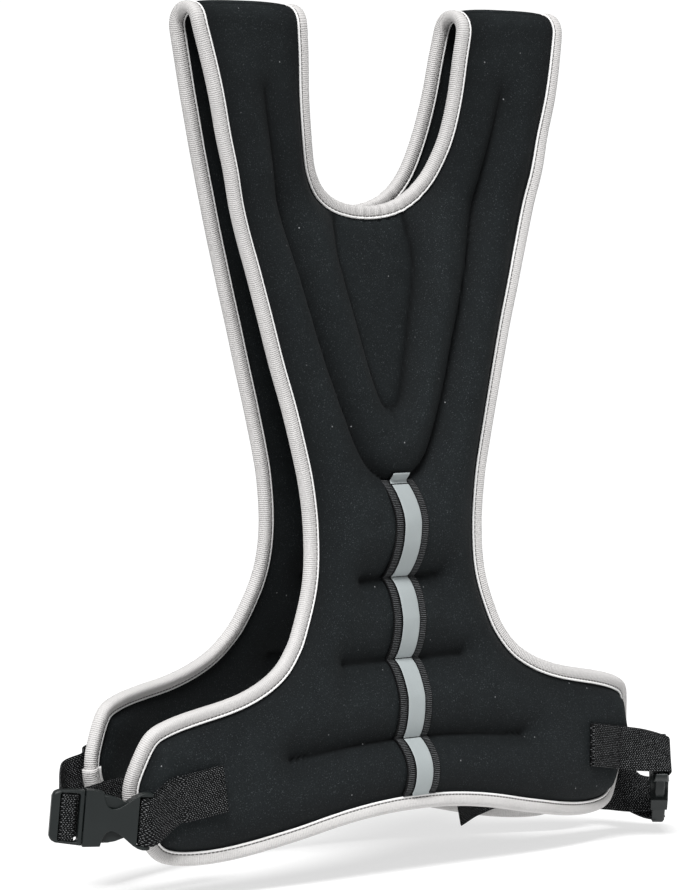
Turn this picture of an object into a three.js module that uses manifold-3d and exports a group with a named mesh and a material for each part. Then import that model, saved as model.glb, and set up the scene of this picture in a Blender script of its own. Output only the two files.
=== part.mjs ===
// A weighted vest of black padded neoprene, in the form that it has when it is worn: two Y-shaped panels
// joined at the shoulders, pale tape round every edge, a reflective strip down the front and a fastened
// buckle strap on each side. The front panel faces -Y and +Z is up. The origin lies under the crest of the
// shoulder straps, midway between them. The geometry is in millimetres.
import * as THREE from 'three';
import { mergeVertices } from 'three/addons/utils/BufferGeometryUtils.js';
import Module from 'manifold-3d';

// The panels
const BODY_LENGTH = 458;
const WING_HALF_WIDTH = 195;
const BODY_DEPTH = 110;
const SHOULDER_RADIUS = 9.5;
const SHOULDER_SEAM_OFFSET = 4;
const SHOULDER_SEAM_GAP = 0.3;
const EDGE_THICKNESS = 4;
const OUTER_FILL = 8;
const INNER_FILL = 4;
const FILL_RISE = 22;
const CREST_FILL = 0.15;
const CREST_RISE = 90;
const BACK_TILT = 11;

// The tape folded over the edges
const TAPE_WIDTH = 6.5;
const TAPE_THICKNESS = 0.8;
const TAPE_CLEARANCE = 0.6;
const TAPE_END_WIDTH = 9;
const TAPE_END_THICKNESS = 0.7;

// The webbing, the reflective tape and the gap that two layers keep
const WEBBING_WIDTH = 25.4;
const WEBBING_THICKNESS = 1.4;
const REFLECTIVE_WIDTH = 12.7;
const REFLECTIVE_THICKNESS = 0.4;
const LAYER_GAP = 0.4;

// The side-release buckles, along their length from the socket's bar to the end of the plug
const BUCKLE_WIDTH = 31;
const BUCKLE_THICKNESS = 11;
const SOCKET_LENGTH = 37;
const SOCKET_BAR = 3;
const SOCKET_BAR_THICKNESS = 4.4;
const SOCKET_SLOT = 4.6;
const SOCKET_WALL = 2.2;
const PLUG_LENGTH = 18;
const PLUG_THICKNESS = 6;
const PLUG_END_BAR = 4.5;
const PLUG_SIDE_RAIL = 1.9;
const PLUG_MIDDLE_BAR = 3;
const PLUG_BASE = 2.4;
const BUCKLE_CLEARANCE = 0.35;
const NOTCH_DEPTH = 9.5;

// Half of the panel in its flat pattern. Each row of the body runs from the neck edge or the middle line to
// the outer edge, and below the wing's root to the wing's first rib. Across is a share of WING_HALF_WIDTH,
// drop a share of BODY_LENGTH below the shoulders' bend.
// Columns: inner across, inner drop, outer across, outer drop
const BODY_ROWS = [
  [0.311, 0.000, 0.721, 0.000],
  [0.300, 0.036, 0.701, 0.036],
  [0.290, 0.080, 0.676, 0.080],
  [0.272, 0.123, 0.650, 0.123],
  [0.249, 0.156, 0.630, 0.158],
  [0.222, 0.180, 0.614, 0.184],
  [0.180, 0.200, 0.597, 0.210],
  [0.124, 0.214, 0.580, 0.236],
  [0.060, 0.221, 0.560, 0.264],
  [0.000, 0.223, 0.538, 0.293],
  [0.000, 0.266, 0.514, 0.326],
  [0.000, 0.320, 0.486, 0.364],
  [0.000, 0.385, 0.451, 0.415],
  [0.000, 0.450, 0.413, 0.467],
  [0.000, 0.511, 0.380, 0.518],
  [0.000, 0.561, 0.356, 0.561],
  [0.000, 0.618, 0.341, 0.618],
  [0.000, 0.678, 0.349, 0.678],
  [0.000, 0.729, 0.395, 0.733],
  [0.000, 0.779, 0.395, 0.779],
  [0.000, 0.826, 0.395, 0.830],
  [0.000, 0.876, 0.395, 0.886],
  [0.000, 0.920, 0.395, 0.935],
  [0.000, 0.960, 0.395, 0.978],
];
const NECK_BOTTOM_ROW = 9;
const WING_ROOT_ROW = 18;

// The wing's ribs, from its top edge down to the hem. Columns: top across, top drop, hem across, hem drop
const WING_RIBS = [
  [0.395, 0.733, 0.395, 0.978],
  [0.428, 0.757, 0.455, 0.983],
  [0.480, 0.780, 0.525, 0.988],
  [0.560, 0.798, 0.605, 0.994],
  [0.655, 0.810, 0.690, 0.999],
  [0.750, 0.817, 0.765, 1.001],
  [0.840, 0.824, 0.840, 1.000],
  [0.905, 0.832, 0.885, 0.995],
  [0.955, 0.843, 0.920, 0.986],
  [0.996, 0.872, 0.968, 0.958],
];
const TIP_BULGE = 0.020;

// Where the middle surface of each panel stands, as shares of BODY_DEPTH away from the shoulders' bend:
// at the middle line, and how much farther out it stands at a wing's full width.
// Columns: drop, front middle, front bow, back middle, back bow
const STANCE = [
  [0.000, 0.000, 0.000, 0.000, 0.000],
  [0.080, -0.045, 0.172, 0.062, -0.112],
  [0.134, -0.077, 0.256, 0.105, -0.213],
  [0.178, -0.127, 0.430, 0.132, -0.300],
  [0.219, -0.150, 0.500, 0.134, -0.320],
  [0.308, -0.068, 0.368, 0.145, -0.387],
  [0.409, -0.009, 0.271, 0.140, -0.450],
  [0.467, 0.027, 0.213, 0.146, -0.550],
  [0.557, 0.059, 0.145, 0.155, -0.720],
  [0.646, 0.073, 0.116, 0.182, -0.780],
  [0.733, 0.091, 0.077, 0.245, -0.530],
  [0.809, 0.127, 0.019, 0.345, -0.360],
  [0.875, 0.173, -0.106, 0.427, -0.370],
  [0.962, 0.264, -0.242, 0.545, -0.480],
  [1.010, 0.295, -0.280, 0.580, -0.500],
];

// The sewn lines that press the padding flat, in the pattern's shares. Columns: across, drop
const OUTER_CHANNEL_SEAM = [
  [0.470, 0.080], [0.413, 0.182], [0.365, 0.260], [0.311, 0.334], [0.250, 0.408],
  [0.189, 0.476], [0.120, 0.533], [0.046, 0.557], [0.000, 0.561],
];
const CHEST_PATCH_SEAM = [
  [0.128, 0.200], [0.148, 0.269], [0.138, 0.310], [0.107, 0.361], [0.077, 0.409],
  [0.038, 0.459], [0.000, 0.471],
];
const WAIST_SEAM = [[0.000, 0.678], [0.153, 0.678]];
const BELLY_SEAM = [[0.000, 0.779], [0.235, 0.779]];
const HEM_SEAM = [[0.000, 0.876], [0.240, 0.880], [0.459, 0.888]];
const SEAMS = [OUTER_CHANNEL_SEAM, CHEST_PATCH_SEAM, WAIST_SEAM, BELLY_SEAM, HEM_SEAM];

// Where the grid's columns stand along a row between the two bands that the tape covers
const COLUMN_SHARES = [0.19, 0.32, 0.45, 0.58, 0.71, 0.83];

const FRONT = { name: 'front', facing: -1, middle: 1, bow: 2, tilt: 0 };
const BACK = { name: 'back', facing: 1, middle: 3, bow: 4, tilt: BACK_TILT };

const SHOULDER_BEND = SHOULDER_RADIUS * Math.PI / 2;
const SHOULDER_CENTRE = EDGE_THICKNESS / 2 - SHOULDER_RADIUS;
const TAPE_REACH = EDGE_THICKNESS / 2 + TAPE_CLEARANCE + TAPE_THICKNESS;
const TAPE_BAND = TAPE_WIDTH + 1.2;

const wasm = await Module();
wasm.setup();

// Curves and interpolation

function smooth(share) {
  const s = THREE.MathUtils.clamp(share, 0, 1);
  return s * s * (3 - 2 * s);
}

function tableSlope(table, row, column) {
  const before = table[Math.max(row - 1, 0)];
  const after = table[Math.min(row + 1, table.length - 1)];
  return (after[column] - before[column]) / (after[0] - before[0]);
}

function tableValue(table, drop, column) {
  const last = table.length - 2;
  let row = 0;
  while (row < last && table[row + 1][0] < drop) {
    row += 1;
  }
  const start = table[row];
  const end = table[row + 1];
  const span = end[0] - start[0];
  const s = (drop - start[0]) / span;
  const leave = tableSlope(table, row, column) * span;
  const arrive = tableSlope(table, row + 1, column) * span;
  const rise = end[column] - start[column];
  return start[column] + leave * s + (3 * rise - 2 * leave - arrive) * s * s
    + (leave + arrive - 2 * rise) * s * s * s;
}

function distanceToPath(across, level, path) {
  let nearest = Infinity;
  for (let i = 1; i < path.length; i += 1) {
    const [x0, y0] = path[i - 1];
    const [x1, y1] = path[i];
    const dx = x1 - x0;
    const dy = y1 - y0;
    const share = ((across - x0) * dx + (level - y0) * dy) / (dx * dx + dy * dy);
    const s = THREE.MathUtils.clamp(share, 0, 1);
    nearest = Math.min(nearest, Math.hypot(across - x0 - s * dx, level - y0 - s * dy));
  }
  return nearest;
}

// The flat pattern in millimetres: across from the middle line, level down from the shoulders' bend.
// Levels above the bend are negative and run over the shoulder's crest.

function seamLevel(panel) {
  const offset = panel.facing < 0 ? SHOULDER_SEAM_OFFSET : SHOULDER_SEAM_GAP - SHOULDER_SEAM_OFFSET;
  return offset - SHOULDER_BEND;
}

function patternLine([across0, drop0, across1, drop1], isCurved = false, bulge = 0) {
  return {
    start: [across0 * WING_HALF_WIDTH, drop0 * BODY_LENGTH],
    end: [across1 * WING_HALF_WIDTH, drop1 * BODY_LENGTH],
    isCurved,
    bulge,
  };
}

function linePoint({ start, end, isCurved, bulge }, share) {
  const swell = bulge * Math.sin(Math.PI * share);
  return [
    THREE.MathUtils.lerp(start[0], end[0], share) + swell,
    THREE.MathUtils.lerp(start[1], end[1], isCurved ? share * share : share),
  ];
}

function lineShares(line, inner) {
  const length = Math.hypot(line.end[0] - line.start[0], line.end[1] - line.start[1]);
  const band = TAPE_BAND / length;
  return [0, band, ...inner, 1 - band, 1];
}

function movedLine(line, from, distance) {
  const step = (a, b) => {
    const share = distance / Math.hypot(b[0] - a[0], b[1] - a[1]);
    return [THREE.MathUtils.lerp(a[0], b[0], share), THREE.MathUtils.lerp(a[1], b[1], share)];
  };
  return { ...line, start: step(line.start, from.start), end: step(line.end, from.end) };
}

// The body's rows as lists of points: over the shoulder, down to the wing's root and on to the hem, with
// one row just inside the hem's tape and one just below the root, where the wing's top tape ends

function bodyGrid(panel) {
  const [inner, , outer] = BODY_ROWS[0];
  const seam = seamLevel(panel);
  const steps = Math.ceil(-seam / 4);
  const lines = [];
  for (let i = 0; i < steps; i += 1) {
    const drop = seam * (1 - i / steps) / BODY_LENGTH;
    lines.push(patternLine([inner, drop, outer, drop]));
  }
  BODY_ROWS.forEach((row, i) => lines.push(patternLine(row, i > NECK_BOTTOM_ROW)));
  const root = steps + WING_ROOT_ROW;
  const hem = lines[lines.length - 1];
  lines.splice(lines.length - 1, 0, movedLine(hem, lines[lines.length - 2], TAPE_BAND));
  lines.splice(root + 1, 0, movedLine(lines[root], lines[root + 1], TAPE_BAND));
  const rows = lines.map((line) => lineShares(line, COLUMN_SHARES).map((share) => linePoint(line, share)));
  return { rows, neck: steps + NECK_BOTTOM_ROW, root };
}

// The wing's ribs as lists of points, as many as the body has rows below the wing's root

function wingGrid(rootEdge) {
  const lines = WING_RIBS.map((rib, i) => {
    const bulge = i === WING_RIBS.length - 1 ? TIP_BULGE * WING_HALF_WIDTH : 0;
    return patternLine(rib, false, bulge);
  });
  const tip = lines[lines.length - 1];
  lines.splice(lines.length - 1, 0, movedLine(tip, lines[lines.length - 2], TAPE_BAND));
  const top = rootEdge[0][1];
  const hem = rootEdge[rootEdge.length - 1][1];
  const between = rootEdge.slice(2, -2).map((point) => (point[1] - top) / (hem - top));
  return lines.map((line, i) => {
    const points = lineShares(line, between).map((share) => linePoint(line, share));
    return i === 0 ? rootEdge : points;
  });
}

function halfPattern(panel) {
  const { rows, neck, root } = bodyGrid(panel);
  const rootEdge = rows.slice(root).map((row) => row[row.length - 1]);
  const ribs = wingGrid(rootEdge);
  return { rows, neck, root, ribs };
}

function outerEdge({ rows, root, ribs }) {
  const side = rows.slice(0, root).map((row) => row[row.length - 1]);
  const top = ribs.slice(0, -1).map((rib) => rib[0]);
  const tip = ribs[ribs.length - 1];
  const hem = ribs.slice(0, -1).map((rib) => rib[rib.length - 1]).reverse();
  const middle = rows[rows.length - 1].slice(0, -1).reverse();
  return [...side, ...top, ...tip, ...hem, ...middle];
}

function neckEdge({ rows, neck }) {
  return rows.slice(0, neck + 1).map((row) => row[0]);
}

const toPattern = (seam) => seam.map(([across, drop]) => [across * WING_HALF_WIDTH, drop * BODY_LENGTH]);
const SEAM_PATHS = SEAMS.map(toPattern);
const PATCH_PATH = toPattern(CHEST_PATCH_SEAM);
const EDGE_PATHS = [outerEdge(halfPattern(BACK)), neckEdge(halfPattern(BACK))];

function insideChestPatch(across, level) {
  for (let i = 1; i < PATCH_PATH.length; i += 1) {
    const [x0, y0] = PATCH_PATH[i - 1];
    const [x1, y1] = PATCH_PATH[i];
    if (level >= y0 && level <= y1) {
      return across < x0 + (x1 - x0) * (level - y0) / (y1 - y0);
    }
  }
  return false;
}

// How full the padding is at a point: 0 at a seam, under the tape and on the chest patch, 1 on a pillow. The
// straps grow flatter towards the crest of the shoulders.

function fullness(across, level) {
  const side = Math.abs(across);
  if (insideChestPatch(side, level)) {
    return 0;
  }
  const toEdge = Math.min(...EDGE_PATHS.map((path) => distanceToPath(side, level, path)));
  const toSeam = Math.min(...SEAM_PATHS.map((path) => distanceToPath(side, level, path)));
  const onStrap = CREST_FILL + (1 - CREST_FILL) * smooth(level / CREST_RISE);
  return onStrap * smooth((toEdge - TAPE_BAND) / FILL_RISE) * smooth(toSeam / FILL_RISE);
}

// The panels' middle surfaces in space

function middlePoint(panel, across, level) {
  if (level < 0) {
    const turn = level / SHOULDER_RADIUS;
    return new THREE.Vector3(
      across,
      panel.facing * SHOULDER_RADIUS * Math.cos(turn),
      SHOULDER_CENTRE - SHOULDER_RADIUS * Math.sin(turn),
    );
  }
  const drop = level / BODY_LENGTH;
  const side = across / WING_HALF_WIDTH;
  const middle = tableValue(STANCE, drop, panel.middle);
  const bow = tableValue(STANCE, drop, panel.bow);
  const away = SHOULDER_RADIUS + (middle + bow * side * side) * BODY_DEPTH;
  const tilt = panel.tilt * side * smooth((drop - 0.45) / 0.35);
  return new THREE.Vector3(across, panel.facing * away, SHOULDER_CENTRE - level - tilt);
}

function outward(panel, across, level) {
  const step = 0.5;
  const wide = middlePoint(panel, across + step, level).sub(middlePoint(panel, across - step, level));
  const down = middlePoint(panel, across, level + step).sub(middlePoint(panel, across, level - step));
  return wide.cross(down).multiplyScalar(panel.facing).normalize();
}

function facePoint(panel, across, level, isOuter) {
  const full = fullness(across, level);
  const offset = isOuter
    ? EDGE_THICKNESS / 2 + OUTER_FILL * full
    : -EDGE_THICKNESS / 2 - INNER_FILL * full;
  return middlePoint(panel, across, level).addScaledVector(outward(panel, across, level), offset);
}

// Closed meshes

class Mesher {
  constructor() {
    this.positions = [];
    this.indices = [];
  }

  point(vector) {
    this.positions.push(vector.x, vector.y, vector.z);
    return this.positions.length / 3 - 1;
  }

  quad(a, b, c, d, isFlipped = false) {
    if (isFlipped) {
      this.indices.push(a, c, b, a, d, c);
    } else {
      this.indices.push(a, b, c, a, c, d);
    }
  }

  geometry() {
    const geometry = new THREE.BufferGeometry();
    geometry.setAttribute('position', new THREE.Float32BufferAttribute(this.positions, 3));
    geometry.setIndex(this.indices);
    const merged = mergeVertices(geometry, 1e-3);
    merged.computeVertexNormals();
    return merged;
  }
}

// Two faces of padding over a grid of the flat pattern, with a wall along each side that is an edge. The
// functions start and end tell, for each row of the grid, whether it has an edge there.

function addSheet(mesher, panel, side, grid, edges) {
  const [outer, inner] = [true, false].map((isOuter) => grid.map((line) => line.map(
    ([across, level]) => mesher.point(facePoint(panel, across * side, level, isOuter)),
  )));
  const isFlipped = (side < 0) !== (panel.facing > 0);
  const rows = grid.length - 1;
  const columns = grid[0].length - 1;
  for (let r = 0; r < rows; r += 1) {
    for (let c = 0; c < columns; c += 1) {
      mesher.quad(outer[r][c], outer[r + 1][c], outer[r + 1][c + 1], outer[r][c + 1], isFlipped);
      mesher.quad(inner[r][c], inner[r + 1][c], inner[r + 1][c + 1], inner[r][c + 1], !isFlipped);
    }
    if (edges.end(r)) {
      mesher.quad(outer[r][columns], outer[r + 1][columns], inner[r + 1][columns], inner[r][columns], isFlipped);
    }
    if (edges.start(r)) {
      mesher.quad(outer[r + 1][0], outer[r][0], inner[r][0], inner[r + 1][0], isFlipped);
    }
  }
  for (let c = 0; c < columns; c += 1) {
    if (edges.top) {
      mesher.quad(outer[0][c], outer[0][c + 1], inner[0][c + 1], inner[0][c], isFlipped);
    }
    if (edges.bottom) {
      mesher.quad(outer[rows][c + 1], outer[rows][c], inner[rows][c], inner[rows][c + 1], isFlipped);
    }
  }
}

const isAlways = () => true;

function panelGeometry(panel) {
  const { rows, neck, root, ribs } = halfPattern(panel);
  const body = { top: true, bottom: true, start: (r) => r < neck, end: (r) => r < root };
  const wing = { top: true, bottom: true, start: () => false, end: isAlways };
  const wingRows = ribs[0].map((_, k) => ribs.map((rib) => rib[k]));
  const mesher = new Mesher();
  for (const side of [1, -1]) {
    addSheet(mesher, panel, side, rows, body);
    addSheet(mesher, panel, side, wingRows, wing);
  }
  return mesher.geometry();
}

// A section swept through stations. Each station has a point and two directions, and the section is a list
// of distances along them, in order round it.

function sweepGeometry(stations, section, isClosed) {
  const mesher = new Mesher();
  const rings = stations.map(({ point, along, up }) => section.map(([a, b]) => mesher.point(
    point.clone().addScaledVector(along, a).addScaledVector(up, b),
  )));
  const count = section.length;
  const steps = isClosed ? rings.length : rings.length - 1;
  for (let i = 0; i < steps; i += 1) {
    const near = rings[i];
    const far = rings[(i + 1) % rings.length];
    for (let k = 0; k < count; k += 1) {
      const next = (k + 1) % count;
      mesher.quad(near[k], near[next], far[next], far[k]);
    }
  }
  if (!isClosed) {
    const flat = section.map(([a, b]) => new THREE.Vector2(a, b));
    const faces = THREE.ShapeUtils.triangulateShape(flat, []);
    const isTurned = THREE.ShapeUtils.isClockWise(flat);
    for (const [a, b, c] of faces) {
      const start = isTurned ? [a, b, c] : [a, c, b];
      mesher.indices.push(...start.map((k) => rings[0][k]));
      mesher.indices.push(...[...start].reverse().map((k) => rings[rings.length - 1][k]));
    }
  }
  return mesher.geometry();
}

function isInsideOut(geometry) {
  const position = geometry.getAttribute('position');
  const index = geometry.getIndex();
  const [a, b, c] = [new THREE.Vector3(), new THREE.Vector3(), new THREE.Vector3()];
  let volume = 0;
  for (let i = 0; i < index.count; i += 3) {
    a.fromBufferAttribute(position, index.getX(i));
    b.fromBufferAttribute(position, index.getX(i + 1));
    c.fromBufferAttribute(position, index.getX(i + 2));
    volume += a.dot(b.cross(c));
  }
  return volume < 0;
}

function faceOutwards(geometry) {
  if (isInsideOut(geometry)) {
    const index = geometry.getIndex();
    for (let i = 0; i < index.count; i += 3) {
      const swapped = index.getX(i + 1);
      index.setX(i + 1, index.getX(i + 2));
      index.setX(i + 2, swapped);
    }
    geometry.computeVertexNormals();
  }
  return geometry;
}

// The tape round the edges

function edgeStations(spots, isClosed, turn) {
  const points = spots.map(({ panel, across, level }) => middlePoint(panel, across, level));
  return spots.map(({ panel, across, level }, i) => {
    const count = spots.length;
    const before = points[isClosed ? (i + count - 1) % count : Math.max(i - 1, 0)];
    const after = points[isClosed ? (i + 1) % count : Math.min(i + 1, count - 1)];
    const up = outward(panel, across, level);
    const along = after.clone().sub(before).cross(up).multiplyScalar(turn).normalize();
    return { point: points[i], along, up };
  });
}

function loopSpots(edgeOf) {
  const spots = [];
  for (const [panel, side] of [[FRONT, 1], [FRONT, -1], [BACK, -1], [BACK, 1]]) {
    const edge = edgeOf(halfPattern(panel)).map(([across, level]) => ({ panel, across: across * side, level }));
    const isUpward = (panel === FRONT) === (side < 0);
    const run = isUpward ? edge.reverse().slice(1) : edge;
    spots.push(...run);
  }
  return spots;
}

function foldedSection(width, clearance, thickness) {
  const inside = EDGE_THICKNESS / 2 + clearance;
  const outside = inside + thickness;
  return [
    [width, outside],
    [-clearance - thickness, outside],
    [-clearance - thickness, -outside],
    [width, -outside],
    [width, -inside],
    [-clearance, -inside],
    [-clearance, inside],
    [width, inside],
  ];
}

const tapeSection = foldedSection(TAPE_WIDTH, TAPE_CLEARANCE, TAPE_THICKNESS);
const outerBinding = sweepGeometry(edgeStations(loopSpots(outerEdge), true, 1), tapeSection, true);
const neckBinding = sweepGeometry(edgeStations(loopSpots(neckEdge), true, -1), tapeSection, true);

// The outer tape's end laps over its start on the rear panel's left wing tip

const TAPE_END_SPAN = [0.50, 0.60, 0.70];

function bindingEnd() {
  const tip = patternLine(WING_RIBS[WING_RIBS.length - 1], false, TIP_BULGE * WING_HALF_WIDTH);
  const spots = TAPE_END_SPAN.map((share) => {
    const [across, level] = linePoint(tip, share);
    return { panel: BACK, across: -across, level };
  });
  const clearance = TAPE_CLEARANCE + TAPE_THICKNESS + LAYER_GAP;
  const section = foldedSection(TAPE_END_WIDTH, clearance, TAPE_END_THICKNESS);
  return sweepGeometry(edgeStations(spots, false, 1), section, false);
}

// Webbing: a flat section through stations, each with the point in its middle and the way its width runs.
// A held station keeps that way, and at the others it turns square to the run.

function bandGeometry(stations, width, thickness) {
  const frames = stations.map(({ point, way, isHeld }, i) => {
    const before = stations[Math.max(i - 1, 0)].point;
    const after = stations[Math.min(i + 1, stations.length - 1)].point;
    const run = after.clone().sub(before).normalize();
    const along = way.clone().addScaledVector(run, isHeld ? 0 : -way.dot(run)).normalize();
    return { point, along, up: run.clone().cross(along).normalize() };
  });
  const section = [
    [-width / 2, -thickness / 2], [width / 2, -thickness / 2],
    [width / 2, thickness / 2], [-width / 2, thickness / 2],
  ];
  return sweepGeometry(frames, section, false);
}

// The strip down the front follows the padding at the grid's own rows, clear of its first columns

const STRIP_FIRST_ROW = 15;

function strip(width, thickness, lift) {
  const { rows } = halfPattern(FRONT);
  const above = rows.length - 2 - BODY_ROWS.length;
  const way = new THREE.Vector3(1, 0, 0);
  const stations = rows.slice(above + STRIP_FIRST_ROW, -1).map((row) => {
    const forward = row.slice(0, 4).map(([across, level]) => facePoint(FRONT, across, level, true).y);
    const height = facePoint(FRONT, 0, row[0][1], true).z;
    return { point: new THREE.Vector3(0, Math.min(...forward) - lift - thickness / 2, height), way };
  });
  return bandGeometry(stations, width, thickness);
}

// Buckles, in their own frame: X runs from the socket's bar to the plug's end, Y across, Z through

function toManifold(geometry) {
  const bare = geometry.clone();
  bare.deleteAttribute('normal');
  bare.deleteAttribute('uv');
  const merged = mergeVertices(bare, 1e-4);
  return new wasm.Manifold(new wasm.Mesh({
    numProp: 3,
    vertProperties: new Float32Array(merged.getAttribute('position').array),
    triVerts: new Uint32Array(merged.getIndex().array),
  }));
}

function fromManifold(solid) {
  const mesh = solid.getMesh();
  const geometry = new THREE.BufferGeometry();
  geometry.setAttribute('position', new THREE.BufferAttribute(mesh.vertProperties, 3));
  geometry.setIndex(new THREE.BufferAttribute(mesh.triVerts, 1));
  geometry.computeVertexNormals();
  return geometry;
}

function slab(outline, thickness, holes = []) {
  const shape = new THREE.Shape(outline.map(([x, y]) => new THREE.Vector2(x, y)));
  for (const hole of holes) {
    shape.holes.push(new THREE.Path(hole.map(([x, y]) => new THREE.Vector2(x, y))));
  }
  const geometry = new THREE.ExtrudeGeometry(shape, { depth: thickness, bevelEnabled: false });
  geometry.translate(0, 0, -thickness / 2);
  return geometry;
}

function rectangle(x0, x1, halfWidth) {
  return [[x0, -halfWidth], [x1, -halfWidth], [x1, halfWidth], [x0, halfWidth]];
}

function bothSides(half) {
  return [...half, ...[...half].reverse().map(([x, y]) => [x, -y])];
}

// The socket's half outline, from the bar end to the mouth: shares of SOCKET_LENGTH along, then millimetres
// in from the side. The notch is where a finger reaches the prong.
const SOCKET_OUTLINE = [
  [0.00, 2.5], [0.05, 0.6], [0.12, 0.0], [0.23, 0.1 * NOTCH_DEPTH], [0.44, 0.65 * NOTCH_DEPTH],
  [0.58, NOTCH_DEPTH], [0.66, 0.8 * NOTCH_DEPTH], [0.72, 0.2 * NOTCH_DEPTH], [0.77, 0.0], [1.00, 0.0],
];

function socketGeometry() {
  const halfWidth = BUCKLE_WIDTH / 2;
  const half = SOCKET_OUTLINE.map(([along, inset]) => [along * SOCKET_LENGTH, halfWidth - inset]);
  const slotHalfWidth = WEBBING_WIDTH / 2 + 0.5;
  const slot = rectangle(SOCKET_BAR, SOCKET_BAR + SOCKET_SLOT, slotHalfWidth);
  const body = toManifold(slab(bothSides(half), BUCKLE_THICKNESS, [slot]));
  const recess = slab(rectangle(-1, SOCKET_BAR + SOCKET_SLOT, slotHalfWidth), BUCKLE_THICKNESS);
  const lift = (BUCKLE_THICKNESS + SOCKET_BAR_THICKNESS) / 2;
  const above = toManifold(recess.clone().translate(0, 0, lift));
  const below = toManifold(recess.clone().translate(0, 0, -lift));
  const floor = SOCKET_BAR + SOCKET_SLOT + SOCKET_WALL;
  const hollow = rectangle(floor, SOCKET_LENGTH + 1, halfWidth - SOCKET_WALL);
  const cavity = toManifold(slab(hollow, PLUG_THICKNESS + 2 * BUCKLE_CLEARANCE));
  return fromManifold(body.subtract(above).subtract(below).subtract(cavity));
}

// The plug: a frame with a middle bar for the strap, a guide and two prongs that reach into the socket

function plugGeometry() {
  const mouth = SOCKET_LENGTH + BUCKLE_CLEARANCE;
  const end = SOCKET_LENGTH + PLUG_LENGTH;
  const halfWidth = BUCKLE_WIDTH / 2 - 0.6;
  const frame = bothSides([[mouth, halfWidth], [end - 2.5, halfWidth - 1], [end, halfWidth - 3.5]]);
  const windowStart = mouth + PLUG_BASE;
  const windowEnd = end - PLUG_END_BAR;
  const window = rectangle(windowStart, windowEnd, halfWidth - PLUG_SIDE_RAIL);
  const solidFrame = toManifold(slab(frame, PLUG_THICKNESS + 1.5, [window]));
  const middle = (windowStart + windowEnd) / 2;
  const bar = toManifold(slab(
    rectangle(middle - PLUG_MIDDLE_BAR / 2, middle + PLUG_MIDDLE_BAR / 2, halfWidth - PLUG_SIDE_RAIL + 0.5),
    PLUG_MIDDLE_BAR,
  ));
  const floor = SOCKET_BAR + SOCKET_SLOT + SOCKET_WALL + BUCKLE_CLEARANCE;
  const guide = toManifold(slab(rectangle(floor + 6, mouth + 1, 2.2), PLUG_THICKNESS));
  const inside = BUCKLE_WIDTH / 2 - SOCKET_WALL - BUCKLE_CLEARANCE;
  const prong = [
    [mouth + 1, inside - 0.8], [mouth - 9, inside - 1.5], [mouth - 12, inside + 0.6],
    [floor + 7, inside + 0.4], [floor, inside - 4], [floor, inside - 6.5],
    [floor + 8, inside - 4.5], [mouth + 1, inside - 4.5],
  ];
  const right = toManifold(slab([...prong].reverse(), PLUG_THICKNESS - 0.4));
  const left = toManifold(slab(prong.map(([x, y]) => [x, -y]), PLUG_THICKNESS - 0.4));
  return fromManifold(solidFrame.add(bar).add(guide).add(right).add(left));
}

// Where each buckle hangs: the middle of the socket's bar end, and the way that its length runs.
// Columns: side, across and drop as in the pattern, forward as a share of BODY_DEPTH, turn of the length
// out of the X axis towards the back and its rise, in degrees
const BUCKLES = [
  { name: 'left', side: -1, across: 0.980, drop: 0.941, forward: 0.285, turn: 32, rise: 5 },
  { name: 'right', side: 1, across: 1.030, drop: 0.933, forward: 0.340, turn: 47, rise: -31 },
];

function buckleMatrix({ side, across, drop, forward, turn, rise }) {
  const heading = THREE.MathUtils.degToRad(turn);
  const lift = THREE.MathUtils.degToRad(rise);
  const length = new THREE.Vector3(
    side * Math.cos(heading) * Math.cos(lift),
    Math.sin(heading) * Math.cos(lift),
    Math.sin(lift),
  );
  const through = length.clone().cross(new THREE.Vector3(0, 0, 1)).normalize().multiplyScalar(side);
  const width = through.clone().cross(length);
  const matrix = new THREE.Matrix4().makeBasis(length, width, through);
  matrix.setPosition(
    side * across * WING_HALF_WIDTH,
    -forward * BODY_DEPTH,
    SHOULDER_CENTRE - drop * BODY_LENGTH,
  );
  return matrix;
}

// Webbing that rests on a panel's outer face: clear of the padding and the tape that lie under its width

const REST_SAMPLES = [-0.5, -0.33, -0.17, 0, 0.17, 0.33, 0.5];
const REST_MARGIN = 4;

function restStation(panel, across, drop, lift, tapeReach = TAPE_REACH) {
  const level = drop * BODY_LENGTH;
  const point = middlePoint(panel, across, level);
  const normal = outward(panel, across, level);
  const way = middlePoint(panel, across, level - 1).sub(middlePoint(panel, across, level + 1)).normalize();
  let reach = 0;
  for (const share of REST_SAMPLES) {
    for (const aside of [-REST_MARGIN, 0, REST_MARGIN]) {
      const x = across + aside;
      const y = level + share * WEBBING_WIDTH;
      const isTaped = distanceToPath(Math.abs(x), y, EDGE_PATHS[0]) < TAPE_BAND;
      const offset = isTaped ? tapeReach : EDGE_THICKNESS / 2 + OUTER_FILL * fullness(x, y);
      const cover = middlePoint(panel, x, y).addScaledVector(outward(panel, x, y), offset);
      reach = Math.max(reach, cover.sub(point).dot(normal));
    }
  }
  return { point: point.addScaledVector(normal, reach + lift), way };
}

function loopStations(matrix, spots) {
  const width = new THREE.Vector3().setFromMatrixColumn(matrix, 1);
  const way = width.multiplyScalar(Math.sign(width.z));
  return spots.map(([along, through]) => ({
    point: new THREE.Vector3(along, 0, through).applyMatrix4(matrix),
    way,
    isHeld: true,
  }));
}

const SEWN_SHARES = [0, 0.2, 0.4, 0.6, 0.8, 1];

// The tab on a front wing: two layers of webbing sewn on the padding and looped through the socket's slot.
// Across is a share of WING_HALF_WIDTH, drop a share of BODY_LENGTH.

const TAB_SPAN = [0.725, 0.880];
const TAB_DROPS = [0.912, 0.920];

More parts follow.
